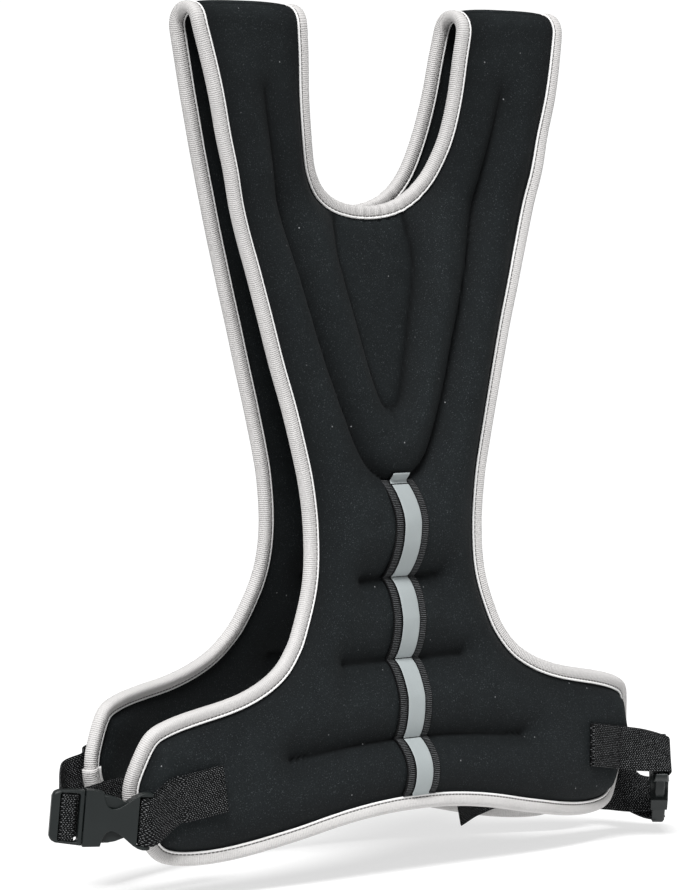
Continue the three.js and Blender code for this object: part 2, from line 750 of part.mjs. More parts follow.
function tabGeometry(buckle) {
  const matrix = buckleMatrix(buckle);
  const layer = (lift) => SEWN_SHARES.map((share) => {
    const across = buckle.side * THREE.MathUtils.lerp(...TAB_SPAN, share) * WING_HALF_WIDTH;
    return restStation(FRONT, across, THREE.MathUtils.lerp(...TAB_DROPS, share), lift);
  });
  const underLift = LAYER_GAP + WEBBING_THICKNESS / 2;
  const under = layer(underLift).reverse();
  const over = layer(underLift + WEBBING_THICKNESS + LAYER_GAP);
  const slot = SOCKET_BAR + SOCKET_SLOT / 2;
  const reach = SOCKET_BAR_THICKNESS / 2 + WEBBING_THICKNESS / 2 + LAYER_GAP;
  const corner = WEBBING_THICKNESS;
  const loop = loopStations(matrix, [
    [-1, reach], [slot - corner, reach], [slot, reach - corner],
    [slot, corner - reach], [slot - corner, -reach], [-1, -reach],
  ]);
  return bandGeometry([...over, ...loop, ...under], WEBBING_WIDTH, WEBBING_THICKNESS);
}

// The strap from a rear wing round the plug's middle bar, and its free tail between the panels. The tail's
// points are across and drop as in the pattern, then a depth behind the shoulder line in BODY_DEPTHs.
// Columns: across, drop, depth

const TAILS = {
  left: [[0.97, 0.925, 0.00], [0.80, 0.922, 0.03], [0.62, 0.918, 0.06]],
  right: [[1.00, 0.985, 0.00], [0.80, 0.975, 0.02], [0.60, 0.962, 0.03], [0.46, 0.972, 0.05], [0.385, 0.984, 0.06]],
};
const STRAP_SPAN = [0.740, 1.032];
const STRAP_DROP = 0.915;

function adjustStrapGeometry(buckle) {
  const { name, side } = buckle;
  const matrix = buckleMatrix(buckle);
  const tapeReach = TAPE_REACH + (side < 0 ? LAYER_GAP + TAPE_END_THICKNESS : 0);
  const sewn = SEWN_SHARES.map((share) => {
    const across = side * THREE.MathUtils.lerp(...STRAP_SPAN, share) * WING_HALF_WIDTH;
    return restStation(BACK, across, STRAP_DROP, LAYER_GAP + WEBBING_THICKNESS / 2, tapeReach);
  });
  const middle = SOCKET_LENGTH + (BUCKLE_CLEARANCE + PLUG_BASE + PLUG_LENGTH - PLUG_END_BAR) / 2;
  const wrap = (PLUG_MIDDLE_BAR + WEBBING_THICKNESS) / 2 + LAYER_GAP + 0.15;
  const back = -PLUG_THICKNESS - WEBBING_THICKNESS;
  const loop = loopStations(matrix, [
    [middle + wrap, back], [middle + wrap, wrap - 1], [middle + wrap - 1, wrap],
    [middle - wrap + 1, wrap], [middle - wrap, wrap - 1], [middle - wrap, back],
  ]);
  const tail = TAILS[name].map(([across, drop, depth]) => ({
    point: new THREE.Vector3(
      side * across * WING_HALF_WIDTH,
      depth * BODY_DEPTH,
      SHOULDER_CENTRE - drop * BODY_LENGTH,
    ),
    way: new THREE.Vector3(0, 0, 1),
  }));
  return bandGeometry([...sewn, ...loop, ...tail], WEBBING_WIDTH, WEBBING_THICKNESS);
}

// The vest

const NEOPRENE = { color: 0x16191a, roughness: 0.85, metalness: 0 };
const BINDING = { color: 0xd6d2cf, roughness: 0.8, metalness: 0 };
const WEBBING = { color: 0x1b1c1e, roughness: 0.8, metalness: 0 };
const REFLECTIVE = { color: 0xb9bdbf, roughness: 0.35, metalness: 0.2 };
const PLASTIC = { color: 0x24292a, roughness: 0.45, metalness: 0 };

const vest = new THREE.Group();

function add(name, geometry, look, matrix = null) {
  const mesh = new THREE.Mesh(faceOutwards(geometry), new THREE.MeshStandardMaterial(look));
  mesh.name = name;
  if (matrix) {
    matrix.decompose(mesh.position, mesh.quaternion, mesh.scale);
  }
  vest.add(mesh);
}

add('front_panel', panelGeometry(FRONT), NEOPRENE);
add('back_panel', panelGeometry(BACK), NEOPRENE);
add('outer_binding', outerBinding, BINDING);
add('neck_binding', neckBinding, BINDING);
add('binding_end_tab', bindingEnd(), BINDING);
add('front_webbing', strip(WEBBING_WIDTH, WEBBING_THICKNESS, LAYER_GAP), WEBBING);
const reflectiveLift = 2 * LAYER_GAP + WEBBING_THICKNESS;
add('reflective_tape', strip(REFLECTIVE_WIDTH, REFLECTIVE_THICKNESS, reflectiveLift), REFLECTIVE);
for (const buckle of BUCKLES) {
  const matrix = buckleMatrix(buckle);
  add(`${buckle.name}_socket_strap`, tabGeometry(buckle), WEBBING);
  add(`${buckle.name}_buckle_socket`, socketGeometry(), PLASTIC, matrix);
  add(`${buckle.name}_buckle_plug`, plugGeometry(), PLASTIC, matrix);
  add(`${buckle.name}_adjust_strap`, adjustStrapGeometry(buckle), WEBBING);
}

export default vest;
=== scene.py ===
"""The looks of a weighted vest of black padded neoprene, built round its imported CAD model.

Every mesh is in metres in the model's own frame. The pattern's sizes are in millimetres, as in the CAD.
"""

import math

import bmesh
import bpy
import numpy as np
from mathutils import Matrix, Vector


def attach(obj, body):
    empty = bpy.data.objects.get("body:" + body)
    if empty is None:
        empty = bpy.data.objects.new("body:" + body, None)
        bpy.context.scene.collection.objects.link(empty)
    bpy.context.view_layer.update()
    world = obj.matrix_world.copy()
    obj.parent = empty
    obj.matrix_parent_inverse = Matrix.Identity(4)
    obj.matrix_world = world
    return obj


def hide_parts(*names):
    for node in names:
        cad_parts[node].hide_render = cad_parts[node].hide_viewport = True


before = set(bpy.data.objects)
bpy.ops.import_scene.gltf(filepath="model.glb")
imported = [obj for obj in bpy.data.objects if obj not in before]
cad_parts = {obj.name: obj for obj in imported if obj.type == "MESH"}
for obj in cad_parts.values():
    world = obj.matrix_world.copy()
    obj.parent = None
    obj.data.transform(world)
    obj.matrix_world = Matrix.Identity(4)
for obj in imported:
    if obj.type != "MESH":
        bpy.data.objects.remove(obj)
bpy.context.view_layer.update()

# The paper pattern of both panels. Neoprene is cut to one Y shape twice, flat, and takes its form when the
# two are worn as front and back. Across is a share of the wing's half width, drop one of the body's length.

MM = 0.001
BODY_LENGTH = 458
WING_HALF_WIDTH = 195
BODY_DEPTH = 110
SHOULDER_RADIUS = 9.5
SHOULDER_SEAM_OFFSET = 4
EDGE_THICKNESS = 4
BACK_TILT = 11
TILT_FROM = 0.45
TILT_OVER = 0.35
TIP_CURL = 7
TIP_STRETCH = 2.5
CURL_FROM = 170
CURL_LIMIT = 1.2
CORNER_PULL = 3.0
CORNER_REACH = 10
SHOULDER_BEND = SHOULDER_RADIUS * math.pi / 2
SHOULDER_CENTRE = EDGE_THICKNESS / 2 - SHOULDER_RADIUS
FRONT, BACK = -1, 1
PATTERN_SCALE = np.array([WING_HALF_WIDTH, BODY_LENGTH])

# Rows from the neck edge or the middle line to the outer edge: across, drop, across, drop
BODY_ROWS = np.array([
    [0.311, 0.000, 0.721, 0.000],
    [0.300, 0.036, 0.701, 0.036],
    [0.290, 0.080, 0.676, 0.080],
    [0.272, 0.123, 0.650, 0.123],
    [0.249, 0.156, 0.630, 0.158],
    [0.222, 0.180, 0.614, 0.184],
    [0.180, 0.200, 0.597, 0.210],
    [0.124, 0.214, 0.580, 0.236],
    [0.060, 0.221, 0.560, 0.264],
    [0.000, 0.223, 0.538, 0.293],
    [0.000, 0.266, 0.514, 0.326],
    [0.000, 0.320, 0.486, 0.364],
    [0.000, 0.385, 0.451, 0.415],
    [0.000, 0.450, 0.413, 0.467],
    [0.000, 0.511, 0.380, 0.518],
    [0.000, 0.561, 0.356, 0.561],
    [0.000, 0.618, 0.341, 0.618],
    [0.000, 0.678, 0.349, 0.678],
    [0.000, 0.729, 0.395, 0.733],
    [0.000, 0.779, 0.395, 0.779],
    [0.000, 0.826, 0.395, 0.830],
    [0.000, 0.876, 0.395, 0.886],
    [0.000, 0.920, 0.395, 0.935],
    [0.000, 0.960, 0.395, 0.978],
])
NECK_ROW = 9
ROOT_ROW = 18
HEM_ROW = 23

# The wing's ribs, from its top edge down to the hem: across, drop, across, drop
WING_RIBS = np.array([
    [0.395, 0.733, 0.395, 0.978],
    [0.428, 0.757, 0.455, 0.983],
    [0.480, 0.780, 0.525, 0.988],
    [0.560, 0.798, 0.605, 0.994],
    [0.655, 0.810, 0.690, 0.999],
    [0.750, 0.817, 0.765, 1.001],
    [0.840, 0.824, 0.840, 1.000],
    [0.905, 0.832, 0.885, 0.995],
    [0.955, 0.843, 0.920, 0.986],
    [0.996, 0.872, 0.968, 0.958],
])
TIP_RIB = 9
TIP_BULGE = 0.020
TIP_CENTRE = np.array([0.870, 0.915])

# Where each panel's middle stands, as shares of the body's depth: drop, front, its bow, back, its bow
STANCE = np.array([
    [0.000, 0.000, 0.000, 0.000, 0.000],
    [0.080, -0.045, 0.172, 0.062, -0.112],
    [0.134, -0.077, 0.256, 0.105, -0.213],
    [0.178, -0.127, 0.430, 0.132, -0.300],
    [0.219, -0.150, 0.500, 0.134, -0.320],
    [0.308, -0.068, 0.368, 0.145, -0.387],
    [0.409, -0.009, 0.271, 0.140, -0.450],
    [0.467, 0.027, 0.213, 0.146, -0.550],
    [0.557, 0.059, 0.145, 0.155, -0.720],
    [0.646, 0.073, 0.116, 0.182, -0.780],
    [0.733, 0.091, 0.077, 0.245, -0.530],
    [0.809, 0.127, 0.019, 0.345, -0.360],
    [0.875, 0.173, -0.106, 0.427, -0.370],
    [0.962, 0.264, -0.242, 0.545, -0.480],
    [1.010, 0.295, -0.280, 0.580, -0.500],
])


def smooth(share):
    """From 0 to 1 with a soft start and a soft end."""
    share = np.clip(share, 0, 1)
    return share * share * (3 - 2 * share)


def bell(distance, reach):
    """1 where the distance is 0, fading away over the reach."""
    return np.exp(-((distance / reach) ** 2))


def blend_between(start, end, leave, arrive, share):
    """The curve from start to end that leaves and arrives with these slopes."""
    rise = end - start
    curve = start + leave * share + (3 * rise - 2 * leave - arrive) * share**2
    return curve + (leave + arrive - 2 * rise) * share**3


def curve_through(points, places):
    """A smooth curve through a table's rows, read at fractional row numbers."""
    points = np.asarray(points, float)
    last = len(points) - 1
    row = np.clip(np.floor(places).astype(int), 0, last - 1)
    share = (np.asarray(places) - row)[..., None]
    start, end = points[row], points[row + 1]
    before, after = points[np.maximum(row - 1, 0)], points[np.minimum(row + 2, last)]
    leave = np.where((row == 0)[..., None], end - start, (end - before) / 2)
    arrive = np.where((row == last - 1)[..., None], end - start, (after - start) / 2)
    return blend_between(start, end, leave, arrive, share)


def stance(drop, column):
    """A column of the stance table, read at a share of the body's length."""
    heights, values = STANCE[:, 0], STANCE[:, column]
    slopes = np.empty(len(heights))
    slopes[1:-1] = (values[2:] - values[:-2]) / (heights[2:] - heights[:-2])
    slopes[0] = (values[1] - values[0]) / (heights[1] - heights[0])
    slopes[-1] = (values[-1] - values[-2]) / (heights[-1] - heights[-2])
    row = np.clip(np.searchsorted(heights, drop) - 1, 0, len(heights) - 2)
    span = heights[row + 1] - heights[row]
    share = (drop - heights[row]) / span
    return blend_between(
        values[row], values[row + 1], slopes[row] * span, slopes[row + 1] * span, share
    )


def middle_surface(facing, across, level):
    """The middle of a panel's cloth in space, in millimetres. Levels above 0 go over the shoulder's crest."""
    turn = np.minimum(level, 0) / SHOULDER_RADIUS
    drop = np.maximum(level, 0) / BODY_LENGTH
    side = across / WING_HALF_WIDTH
    column = 1 if facing == FRONT else 3
    away = (stance(drop, column) + stance(drop, column + 1) * side**2) * BODY_DEPTH
    tilt = curl = 0
    if facing == BACK:
        tilt = BACK_TILT * side * smooth((drop - TILT_FROM) / TILT_OVER)
    else:
        curl = np.clip((across - CURL_FROM) / (WING_HALF_WIDTH - CURL_FROM), 0, CURL_LIMIT) ** 2
    y = facing * (SHOULDER_RADIUS * np.cos(turn) + away) + TIP_CURL * curl
    z = SHOULDER_CENTRE - SHOULDER_RADIUS * np.sin(turn) - np.maximum(level, 0) - tilt
    return np.stack([across + TIP_STRETCH * curl, y, z], axis=-1)


def unit(vectors):
    """The same directions, each 1 long."""
    return vectors / np.linalg.norm(vectors, axis=-1, keepdims=True)


def outward(facing, across, level):
    """The way that a panel's outer face looks."""
    wide = middle_surface(facing, across + 0.5, level) - middle_surface(facing, across - 0.5, level)
    down = middle_surface(facing, across, level + 0.5) - middle_surface(facing, across, level - 0.5)
    return unit(np.cross(wide, down) * facing)


OUTER_PATH = np.vstack([BODY_ROWS[: ROOT_ROW + 1, 2:], WING_RIBS[1:, :2]])


def body_place(row, share):
    """The pattern's point at a row, from its inner to its outer end."""
    neck = curve_through(BODY_ROWS[: NECK_ROW + 1, :2], np.minimum(row, NECK_ROW))
    middle = curve_through(BODY_ROWS[NECK_ROW:, :2], np.maximum(row - NECK_ROW, 0))
    start = np.where((row <= NECK_ROW)[..., None], neck, middle)
    side = curve_through(OUTER_PATH, np.minimum(row, ROOT_ROW))
    root = curve_through(BODY_ROWS[ROOT_ROW:, 2:], np.maximum(row - ROOT_ROW, 0))
    end = np.where((row <= ROOT_ROW)[..., None], side, root)
    bend = np.clip(row - NECK_ROW, 0, 1)
    eased = share + (share**2 - share) * bend
    across = start[..., 0] + (end[..., 0] - start[..., 0]) * share
    drop = start[..., 1] + (end[..., 1] - start[..., 1]) * eased
    return np.stack([across, drop], axis=-1) * PATTERN_SCALE


def wing_place(rib, row):
    """The pattern's point on a rib, level with a row of the body."""
    drops = curve_through(BODY_ROWS[ROOT_ROW:, 2:], row - ROOT_ROW)[..., 1]
    first, last = BODY_ROWS[ROOT_ROW, 3], BODY_ROWS[HEM_ROW, 3]
    share = (drops - first) / (last - first)
    top = curve_through(OUTER_PATH, ROOT_ROW + rib)
    hem = curve_through(WING_RIBS[:, 2:], rib)
    bulge = TIP_BULGE * smooth((rib - TIP_RIB + 2) / 2) * np.sin(np.pi * share)
    across = top[..., 0] + (hem[..., 0] - top[..., 0]) * share + bulge
    drop = top[..., 1] + (hem[..., 1] - top[..., 1]) * share
    places = np.stack([across, drop], axis=-1) * PATTERN_SCALE
    for corner in WING_RIBS[TIP_RIB].reshape(2, 2) * PATTERN_SCALE:
        near = bell(np.linalg.norm(places - corner, axis=-1), CORNER_REACH)
        inwards = unit(TIP_CENTRE * PATTERN_SCALE - corner)
        places = places + inwards * CORNER_PULL * near[..., None]
    return places


def seam_level(facing):
    """The level of the shoulder seam, which lies a little down the front."""
    return SHOULDER_SEAM_OFFSET * -facing - SHOULDER_BEND


def crest_place(facing, share_down, share):
    """The point over the crest: a share of the way down from the shoulder seam and of the strap's width."""
    inner, outer = BODY_ROWS[0, [0, 2]] * WING_HALF_WIDTH
    return np.stack([inner + (outer - inner) * share, seam_level(facing) * (1 - share_down)], axis=-1)


def crest_run(facing, share):
    """The line over the crest at a share of the strap's width."""
    shares = np.linspace(0, 1, 8, endpoint=False)
    return crest_place(facing, shares, np.full_like(shares, share))


def steps(first, last, per_row):
    """Row numbers from first to last, with so many steps to each row."""
    return np.linspace(first, last, abs(last - first) * per_row + 1)


def outer_outline(facing):
    """The panel's outer edge from the shoulder seam to the middle of the hem."""
    down, out = steps(0, ROOT_ROW, 12), steps(0, TIP_RIB, 10)
    tip, back, middle = steps(ROOT_ROW, HEM_ROW, 6), steps(TIP_RIB, 0, 8), steps(1, 0, 40)
    return np.vstack([
        crest_run(facing, 1),
        body_place(down, np.ones_like(down)),
        wing_place(out, np.full_like(out, ROOT_ROW))[1:],
        wing_place(np.full_like(tip, TIP_RIB), tip)[1:],
        wing_place(back, np.full_like(back, HEM_ROW))[1:],
        body_place(np.full_like(middle, HEM_ROW), middle)[1:],
    ])


def neck_outline(facing):
    """The neck edge from the shoulder seam to the middle."""
    down = steps(0, NECK_ROW, 12)
    return np.vstack([crest_run(facing, 0), body_place(down, np.zeros_like(down))])


# The front panel: a soft shell of knit-faced neoprene filled with small weights. Sewn lines press it flat, so
# it stands in long tubes beside the V seams and in cross pillows over the belly.

TAPE_BAND = 7.4
OUTER_FILL = 9.2
INNER_FILL = 4
PATCH_FILL = 1.6
FILL_RISE = 25
CREST_FILL = 0.15
CREST_RISE = 90
TIP_RISE = 9
TIP_RISE_FROM = 130
TIP_RISE_OVER = 50
PATCH_RISE = 9
PATCH_OVERLAP = 12
BELLY_FILL = 0.45
BELLY_LEVEL, BELLY_REACH, BELLY_HALF_WIDTH = 282, 24, 58
TUBE_FILL = 0.38
TUBE_LEVEL, TUBE_REACH = 170, 85
CREASE_ROUNDING = 0.8
PILLOW_POWER = 0.68
FULLEST = 1.5
LIP_DEPTH = 0.9
LIP_REACH = 3

# How far painted shade darkens the knit: in the hollows, on the patch (only a little, all over), in a seam,
# beside it and in the shoulder seam
HOLLOW_SHADE = 0.62
HOLLOW_FILL = 1.15
PATCH_SHADE = 0.1
SEAM_SHADE, SEAM_WIDTH = 0.55, 1.7
BESIDE_SHADE, BESIDE_WIDTH = 0.38, 8
SHOULDER_SHADE, SHOULDER_WIDTH = 0.8, 1.2

V_SEAM = np.array([
    [0.470, 0.080], [0.413, 0.182], [0.365, 0.260], [0.311, 0.334], [0.250, 0.408],
    [0.189, 0.476], [0.120, 0.533], [0.046, 0.557], [0.000, 0.561],
]) * PATTERN_SCALE
PATCH_SEAM = np.array([
    [0.128, 0.200], [0.148, 0.269], [0.138, 0.310], [0.107, 0.361], [0.077, 0.409],
    [0.038, 0.459], [0.000, 0.471],
]) * PATTERN_SCALE
WAIST_SEAM = np.array([[0.000, 0.678], [0.153, 0.678]]) * PATTERN_SCALE
BELLY_SEAM = np.array([[0.000, 0.779], [0.235, 0.779]]) * PATTERN_SCALE
HEM_SEAM = np.array([[0.000, 0.876], [0.240, 0.880], [0.459, 0.888]]) * PATTERN_SCALE


def smooth_path(points):
    """A seam's line, rounded through its points."""
    return curve_through(points, steps(0, len(points) - 1, 6))


PATCH_LINE = smooth_path(PATCH_SEAM)
PATCH_TOP = BODY_ROWS[NECK_ROW, 1] * BODY_LENGTH - PATCH_OVERLAP
SEAMS = [smooth_path(V_SEAM), PATCH_LINE, WAIST_SEAM, BELLY_SEAM, smooth_path(HEM_SEAM)]
EDGES = [outer_outline(BACK)[::3], neck_outline(BACK)[::3]]


def distance_to(spots, path):
    """How far each spot is from a line through the path's points."""
    nearest = np.full(len(spots), np.inf)
    for start, end in zip(path[:-1], path[1:]):
        run = end - start
        length = max(run @ run, 1e-9)
        share = np.clip(((spots - start) @ run) / length, 0, 1)
        gap = spots - start - share[:, None] * run
        nearest = np.minimum(nearest, np.hypot(gap[:, 0], gap[:, 1]))
    return nearest


def pillow(distance, rise):
    """The rounded rise of stuffed cloth beside a line that holds it down."""
    soft = np.sqrt(np.maximum(distance, 0) ** 2 + CREASE_ROUNDING**2) - CREASE_ROUNDING
    share = 1 - np.clip(soft / rise, 0, 1)
    return (1 - share**2) ** PILLOW_POWER


def measure(across, level):
    """For spots of the pattern: how far to the edge and to a seam, and whether the spot is on the patch."""
    spots = np.stack([np.abs(across), level], axis=-1).reshape(-1, 2)
    to_edge = np.minimum(*[distance_to(spots, path) for path in EDGES])
    to_seam = np.min([distance_to(spots, path) for path in SEAMS], axis=0)
    limit = np.interp(spots[:, 1], PATCH_LINE[:, 1], PATCH_LINE[:, 0], left=-1, right=-1)
    on_patch = (spots[:, 0] < limit) & (spots[:, 1] > PATCH_TOP)
    shape = np.shape(across)
    return to_edge.reshape(shape), to_seam.reshape(shape), on_patch.reshape(shape)


def padding(across, level):
    """The padding's height over the flat cloth, where 1 is full, and how far painted shade darkens the knit
    there.
    """
    to_edge, to_seam, on_patch = measure(across, level)
    at_edge = FILL_RISE + (TIP_RISE - FILL_RISE) * smooth((np.abs(across) - TIP_RISE_FROM) / TIP_RISE_OVER)
    rise = pillow(to_edge - TAPE_BAND, at_edge) * pillow(to_seam, FILL_RISE)
    rise = rise * (1 + BELLY_FILL * bell(level - BELLY_LEVEL, BELLY_REACH) * bell(across, BELLY_HALF_WIDTH))
    rise = rise * (1 + TUBE_FILL * bell(level - TUBE_LEVEL, TUBE_REACH))
    # Painted shade in the hollows, where the padding is thin, so that the pillows look rounder
    hollow = HOLLOW_SHADE * (1 - np.clip(rise / HOLLOW_FILL, 0, 1))
    flat = pillow(to_seam, PATCH_RISE) * pillow(to_edge - TAPE_BAND, PATCH_RISE) * PATCH_FILL / OUTER_FILL
    rise = np.where(on_patch, flat, rise * (CREST_FILL + (1 - CREST_FILL) * smooth(level / CREST_RISE)))

    # The filling lies a little unevenly, and the knit gathers in small puckers beside the seams
    ripple = np.sin(across * 0.083 + 1.1) * np.sin(level * 0.061 + across * 0.021)
    ripple = ripple + 0.6 * np.sin(across * 0.19 - level * 0.047 + 0.4) * np.sin(level * 0.113 + 2.0)
    gather = np.sin(across * 0.43 + 1.7 * np.sin(across * 0.11)) * np.sin(across * 0.17 + level * 0.05 + 0.8)
    pucker = gather * np.exp(-to_seam / 7) * np.clip(to_seam / 2, 0, 1)
    rise = rise * (1 + 0.06 * ripple) + 0.05 * pucker * np.where(on_patch, 0, 1)

    # Painted shade: dark in each sewn seam's groove and softly beside it, dark along the shoulder seam, and a
    # little darker all over the patch
    seam = SEAM_SHADE * bell(to_seam, SEAM_WIDTH) + BESIDE_SHADE * np.exp(-to_seam / BESIDE_WIDTH)
    shoulder = SHOULDER_SHADE * bell(level - seam_level(FRONT), SHOULDER_WIDTH)
    shade = np.max([seam, shoulder, np.where(on_patch, PATCH_SHADE, hollow)], axis=0)
    return np.clip(rise, 0, FULLEST), shade


def face_surface(facing, across, level, is_outer):
    """A panel's outer or inner face, with a lip turned in at the shoulder seam."""
    full, _ = padding(across, level)
    lip = np.clip(1 - (level - seam_level(facing)) / LIP_REACH, 0, 1) ** 2
    half = EDGE_THICKNESS / 2 - LIP_DEPTH * lip
    offset = half + OUTER_FILL * full * (1 - 0.25 * lip) if is_outer else -half - INNER_FILL * full
    return middle_surface(facing, across, level) + outward(facing, across, level) * offset[..., None]


def add_cloth(bm, columns, rows):
    """Adds a grid of faces. Gives its corners, with their shares of the way along it and across it."""
    corners = bmesh.ops.create_grid(bm, x_segments=columns, y_segments=rows, size=1)["verts"]
    along = np.array([(corner.co.x + 1) / 2 for corner in corners])
    across = np.array([(corner.co.y + 1) / 2 for corner in corners])
    return corners, along, across


def finish_mesh(bm, name, material):
    """Makes the piece's object from its mesh and gives it its material."""
    mesh = bpy.data.meshes.new(name)
    bm.to_mesh(mesh)
    bm.free()
    mesh.materials.append(material)
    mesh.shade_smooth()
    piece = bpy.data.objects.new(name, mesh)
    bpy.context.scene.collection.objects.link(piece)
    return piece


class Wire:
    """A shader value that adds its own Math nodes when it is used in a Python expression."""

    def __init__(self, tree, socket=None):
        self.tree = tree
        self.socket = socket

    def node(self, kind, inputs=(), **settings):
        """Adds a node, sets it up and fills its sockets with values or links."""
        made = self.tree.nodes.new(kind)
        for key, value in settings.items():
            setattr(made, key, value)
        for key, value in dict(inputs).items():
            if isinstance(value, Wire):
                self.tree.links.new(value.socket, made.inputs[key])
            else:
                made.inputs[key].default_value = value
        return made

    def out(self, kind, output, inputs=(), **settings):
        return Wire(self.tree, self.node(kind, inputs, **settings).outputs[output])

    def math(self, operation, other=0.0):
        return self.out("ShaderNodeMath", 0, {0: self, 1: other}, operation=operation)

    def __add__(self, other):
        return self.math("ADD", other)

    def __sub__(self, other):
        return self.math("SUBTRACT", other)

    def __rsub__(self, other):
        return self.out("ShaderNodeMath", 0, {0: other, 1: self}, operation="SUBTRACT")

    def __mul__(self, other):
        return self.math("MULTIPLY", other)

    def __truediv__(self, other):
        return self.math("DIVIDE", other)

    def __rtruediv__(self, other):
        return self.out("ShaderNodeMath", 0, {0: other, 1: self}, operation="DIVIDE")

    __radd__ = __add__
    __rmul__ = __mul__

    def mix(self, low, high):
        """A colour between low and high, by this value."""
        mixed = self.node("ShaderNodeMix", {0: self}, data_type="RGBA")
        for slot, colour in ((6, low), (7, high)):
            if isinstance(colour, Wire):
                self.tree.links.new(colour.socket, mixed.inputs[slot])
            else:
                mixed.inputs[slot].default_value = (*colour, 1)
        return Wire(self.tree, mixed.outputs[2])

    def step(self, low, high):
        """From 0 at low to 1 at high, smoothly."""
        ends = {"Value": self, "From Min": low, "From Max": high}
        return self.out("ShaderNodeMapRange", 0, ends, interpolation_type="SMOOTHSTEP")

    def parts(self):
        """The first two parts of a place."""
        outputs = self.node("ShaderNodeSeparateXYZ", {0: self}).outputs
        return Wire(self.tree, outputs[0]), Wire(self.tree, outputs[1])

    def waves(self, length):
        """A sine wave along this value, one for each length."""
        return (self * (2 * math.pi / length)).math("SINE")


def new_material(name, **constants):
    """A material with one principled shader, and the places that its patterns are read from."""
    material = bpy.data.materials.new(name)
    material.use_nodes = True
    tree = material.node_tree
    shader = tree.nodes["Principled BSDF"]
    for key, value in constants.items():
        shader.inputs[key.replace("_", " ")].default_value = value
    places = Wire(tree).node("ShaderNodeTexCoord").outputs
    return material, shader, Wire(tree, places["Object"]), Wire(tree, places["UV"])


def drive(shader, key, wire):
    """Feeds a value that changes into one of a shader's sockets."""
    wire.tree.links.new(wire.socket, shader.inputs[key])


def noise(place, scale, detail):
    """Soft noise from 0 to 1, with so many grains to a metre."""
    return place.out("ShaderNodeTexNoise", 0, {"Vector": place, "Scale": scale, "Detail": detail})


def emboss(shader, height, strength, depth):
    """Raises the surface's shading by a height from 0 to 1, of so many metres."""
    drive(shader, "Normal", height.out(
        "ShaderNodeBump", 0, {"Height": height, "Strength": strength, "Distance": depth}
    ))


def knit_neoprene():
    """Knit jersey bonded on neoprene: fine loops, faint mottling and pale lint, with painted shade in the
    sewn seams and the hollows.
    """
    material, shader, place, _ = new_material(
        "knit neoprene", Sheen_Weight=0.008, Sheen_Roughness=0.5, Specular_IOR_Level=0.12
    )
    loops, mottle = noise(place, 1700, 2), noise(place, 95, 3)
    cells = place.node("ShaderNodeTexVoronoi", {"Vector": place, "Scale": 190})
    near = Wire(place.tree, cells.outputs["Distance"])
    chance = place.out("ShaderNodeTexWhiteNoise", 0, {"Vector": Wire(place.tree, cells.outputs["Position"])})
    lint = (1 - near.step(0.04, 0.11)) * chance.step(0.90, 0.94)
    flecks = noise(place, 1500, 3).step(0.57, 0.80)
    # Painted shade kept on the panel's corners darkens the knit along the seams, beside them and in the
    # hollows
    shade = place.out("ShaderNodeAttribute", 2, attribute_name="painted_shade")
    knit = (mottle * 0.6 + loops * 0.7 - 0.15).mix((0.0042, 0.0056, 0.0062), (0.0165, 0.0205, 0.0222))
    base = (flecks * 0.75).mix(knit, (0.100, 0.112, 0.118))
    dark = shade.mix(base, (0.0016, 0.0020, 0.0023))
    drive(shader, "Base Color", (lint * 0.7).mix(dark, (0.35, 0.36, 0.37)))
    drive(shader, "Roughness", 0.72 + mottle * 0.2)
    emboss(shader, loops + mottle * 0.6, 0.3, 0.0006)
    return material


neoprene = knit_neoprene()


def make_panel(name, facing, fineness):
    """A shell of two padded faces, each of grids that meet, joined round every edge."""
    bm = bmesh.new()
    # Each corner keeps how far painted shade darkens the knit there
    layer = bm.verts.layers.float.new("painted_shade")

    def add_part(pattern, columns, rows):
        for side in (1, -1):
            for is_outer in (True, False):
                corners, u, v = add_cloth(bm, round(columns * fineness), round(rows * fineness))
                across, level = (pattern(u, v) * [side, 1]).T
                spots = face_surface(facing, across, level, is_outer) * MM
                _, shades = padding(across, level)
                for corner, spot, shade in zip(corners, spots, shades):
                    corner.co = spot
                    corner[layer] = shade

    add_part(lambda u, v: crest_place(facing, u, v), 8, 48)
    add_part(lambda u, v: body_place(u * NECK_ROW, v), 74, 48)
    add_part(lambda u, v: body_place(NECK_ROW + u * (ROOT_ROW - NECK_ROW), v), 122, 48)
    add_part(lambda u, v: body_place(ROOT_ROW + u * (HEM_ROW - ROOT_ROW), v), 58, 48)
    add_part(lambda u, v: wing_place(u * TIP_RIB, ROOT_ROW + v * (HEM_ROW - ROOT_ROW)), 64, 58)
    bmesh.ops.remove_doubles(bm, verts=bm.verts, dist=0.02 * MM)
    bmesh.ops.bridge_loops(bm, edges=[edge for edge in bm.edges if edge.is_boundary])
    bmesh.ops.recalc_face_normals(bm, faces=bm.faces)
    piece = finish_mesh(bm, name, neoprene)
    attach(piece, "root")
    return piece


front = make_panel("front_shell", FRONT, 1.0)
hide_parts("front_panel")

# The back panel: the same padded neoprene, cut from the same pattern and sewn to the front one on each
# shoulder. It has the same sewn lines, and nothing is sewn on its middle.

back = make_panel("back_shell", BACK, 0.75)
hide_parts("back_panel")

# The edge tapes: ribbed polyester tape folded over the raw edges and sewn through with one line of dark
# thread. One loop runs round the outer edge of both panels, another round the neck hole.

TAPE_STITCH = 4.95
TAPE_EASING = 8
WING_EASING = 22
WING_BELOW = 360
WING_BLEND = 12
LEAST_STEP = 0.25
PUCKER_AT = np.array([14, -106])
PUCKER_REACH = np.array([26, 14])

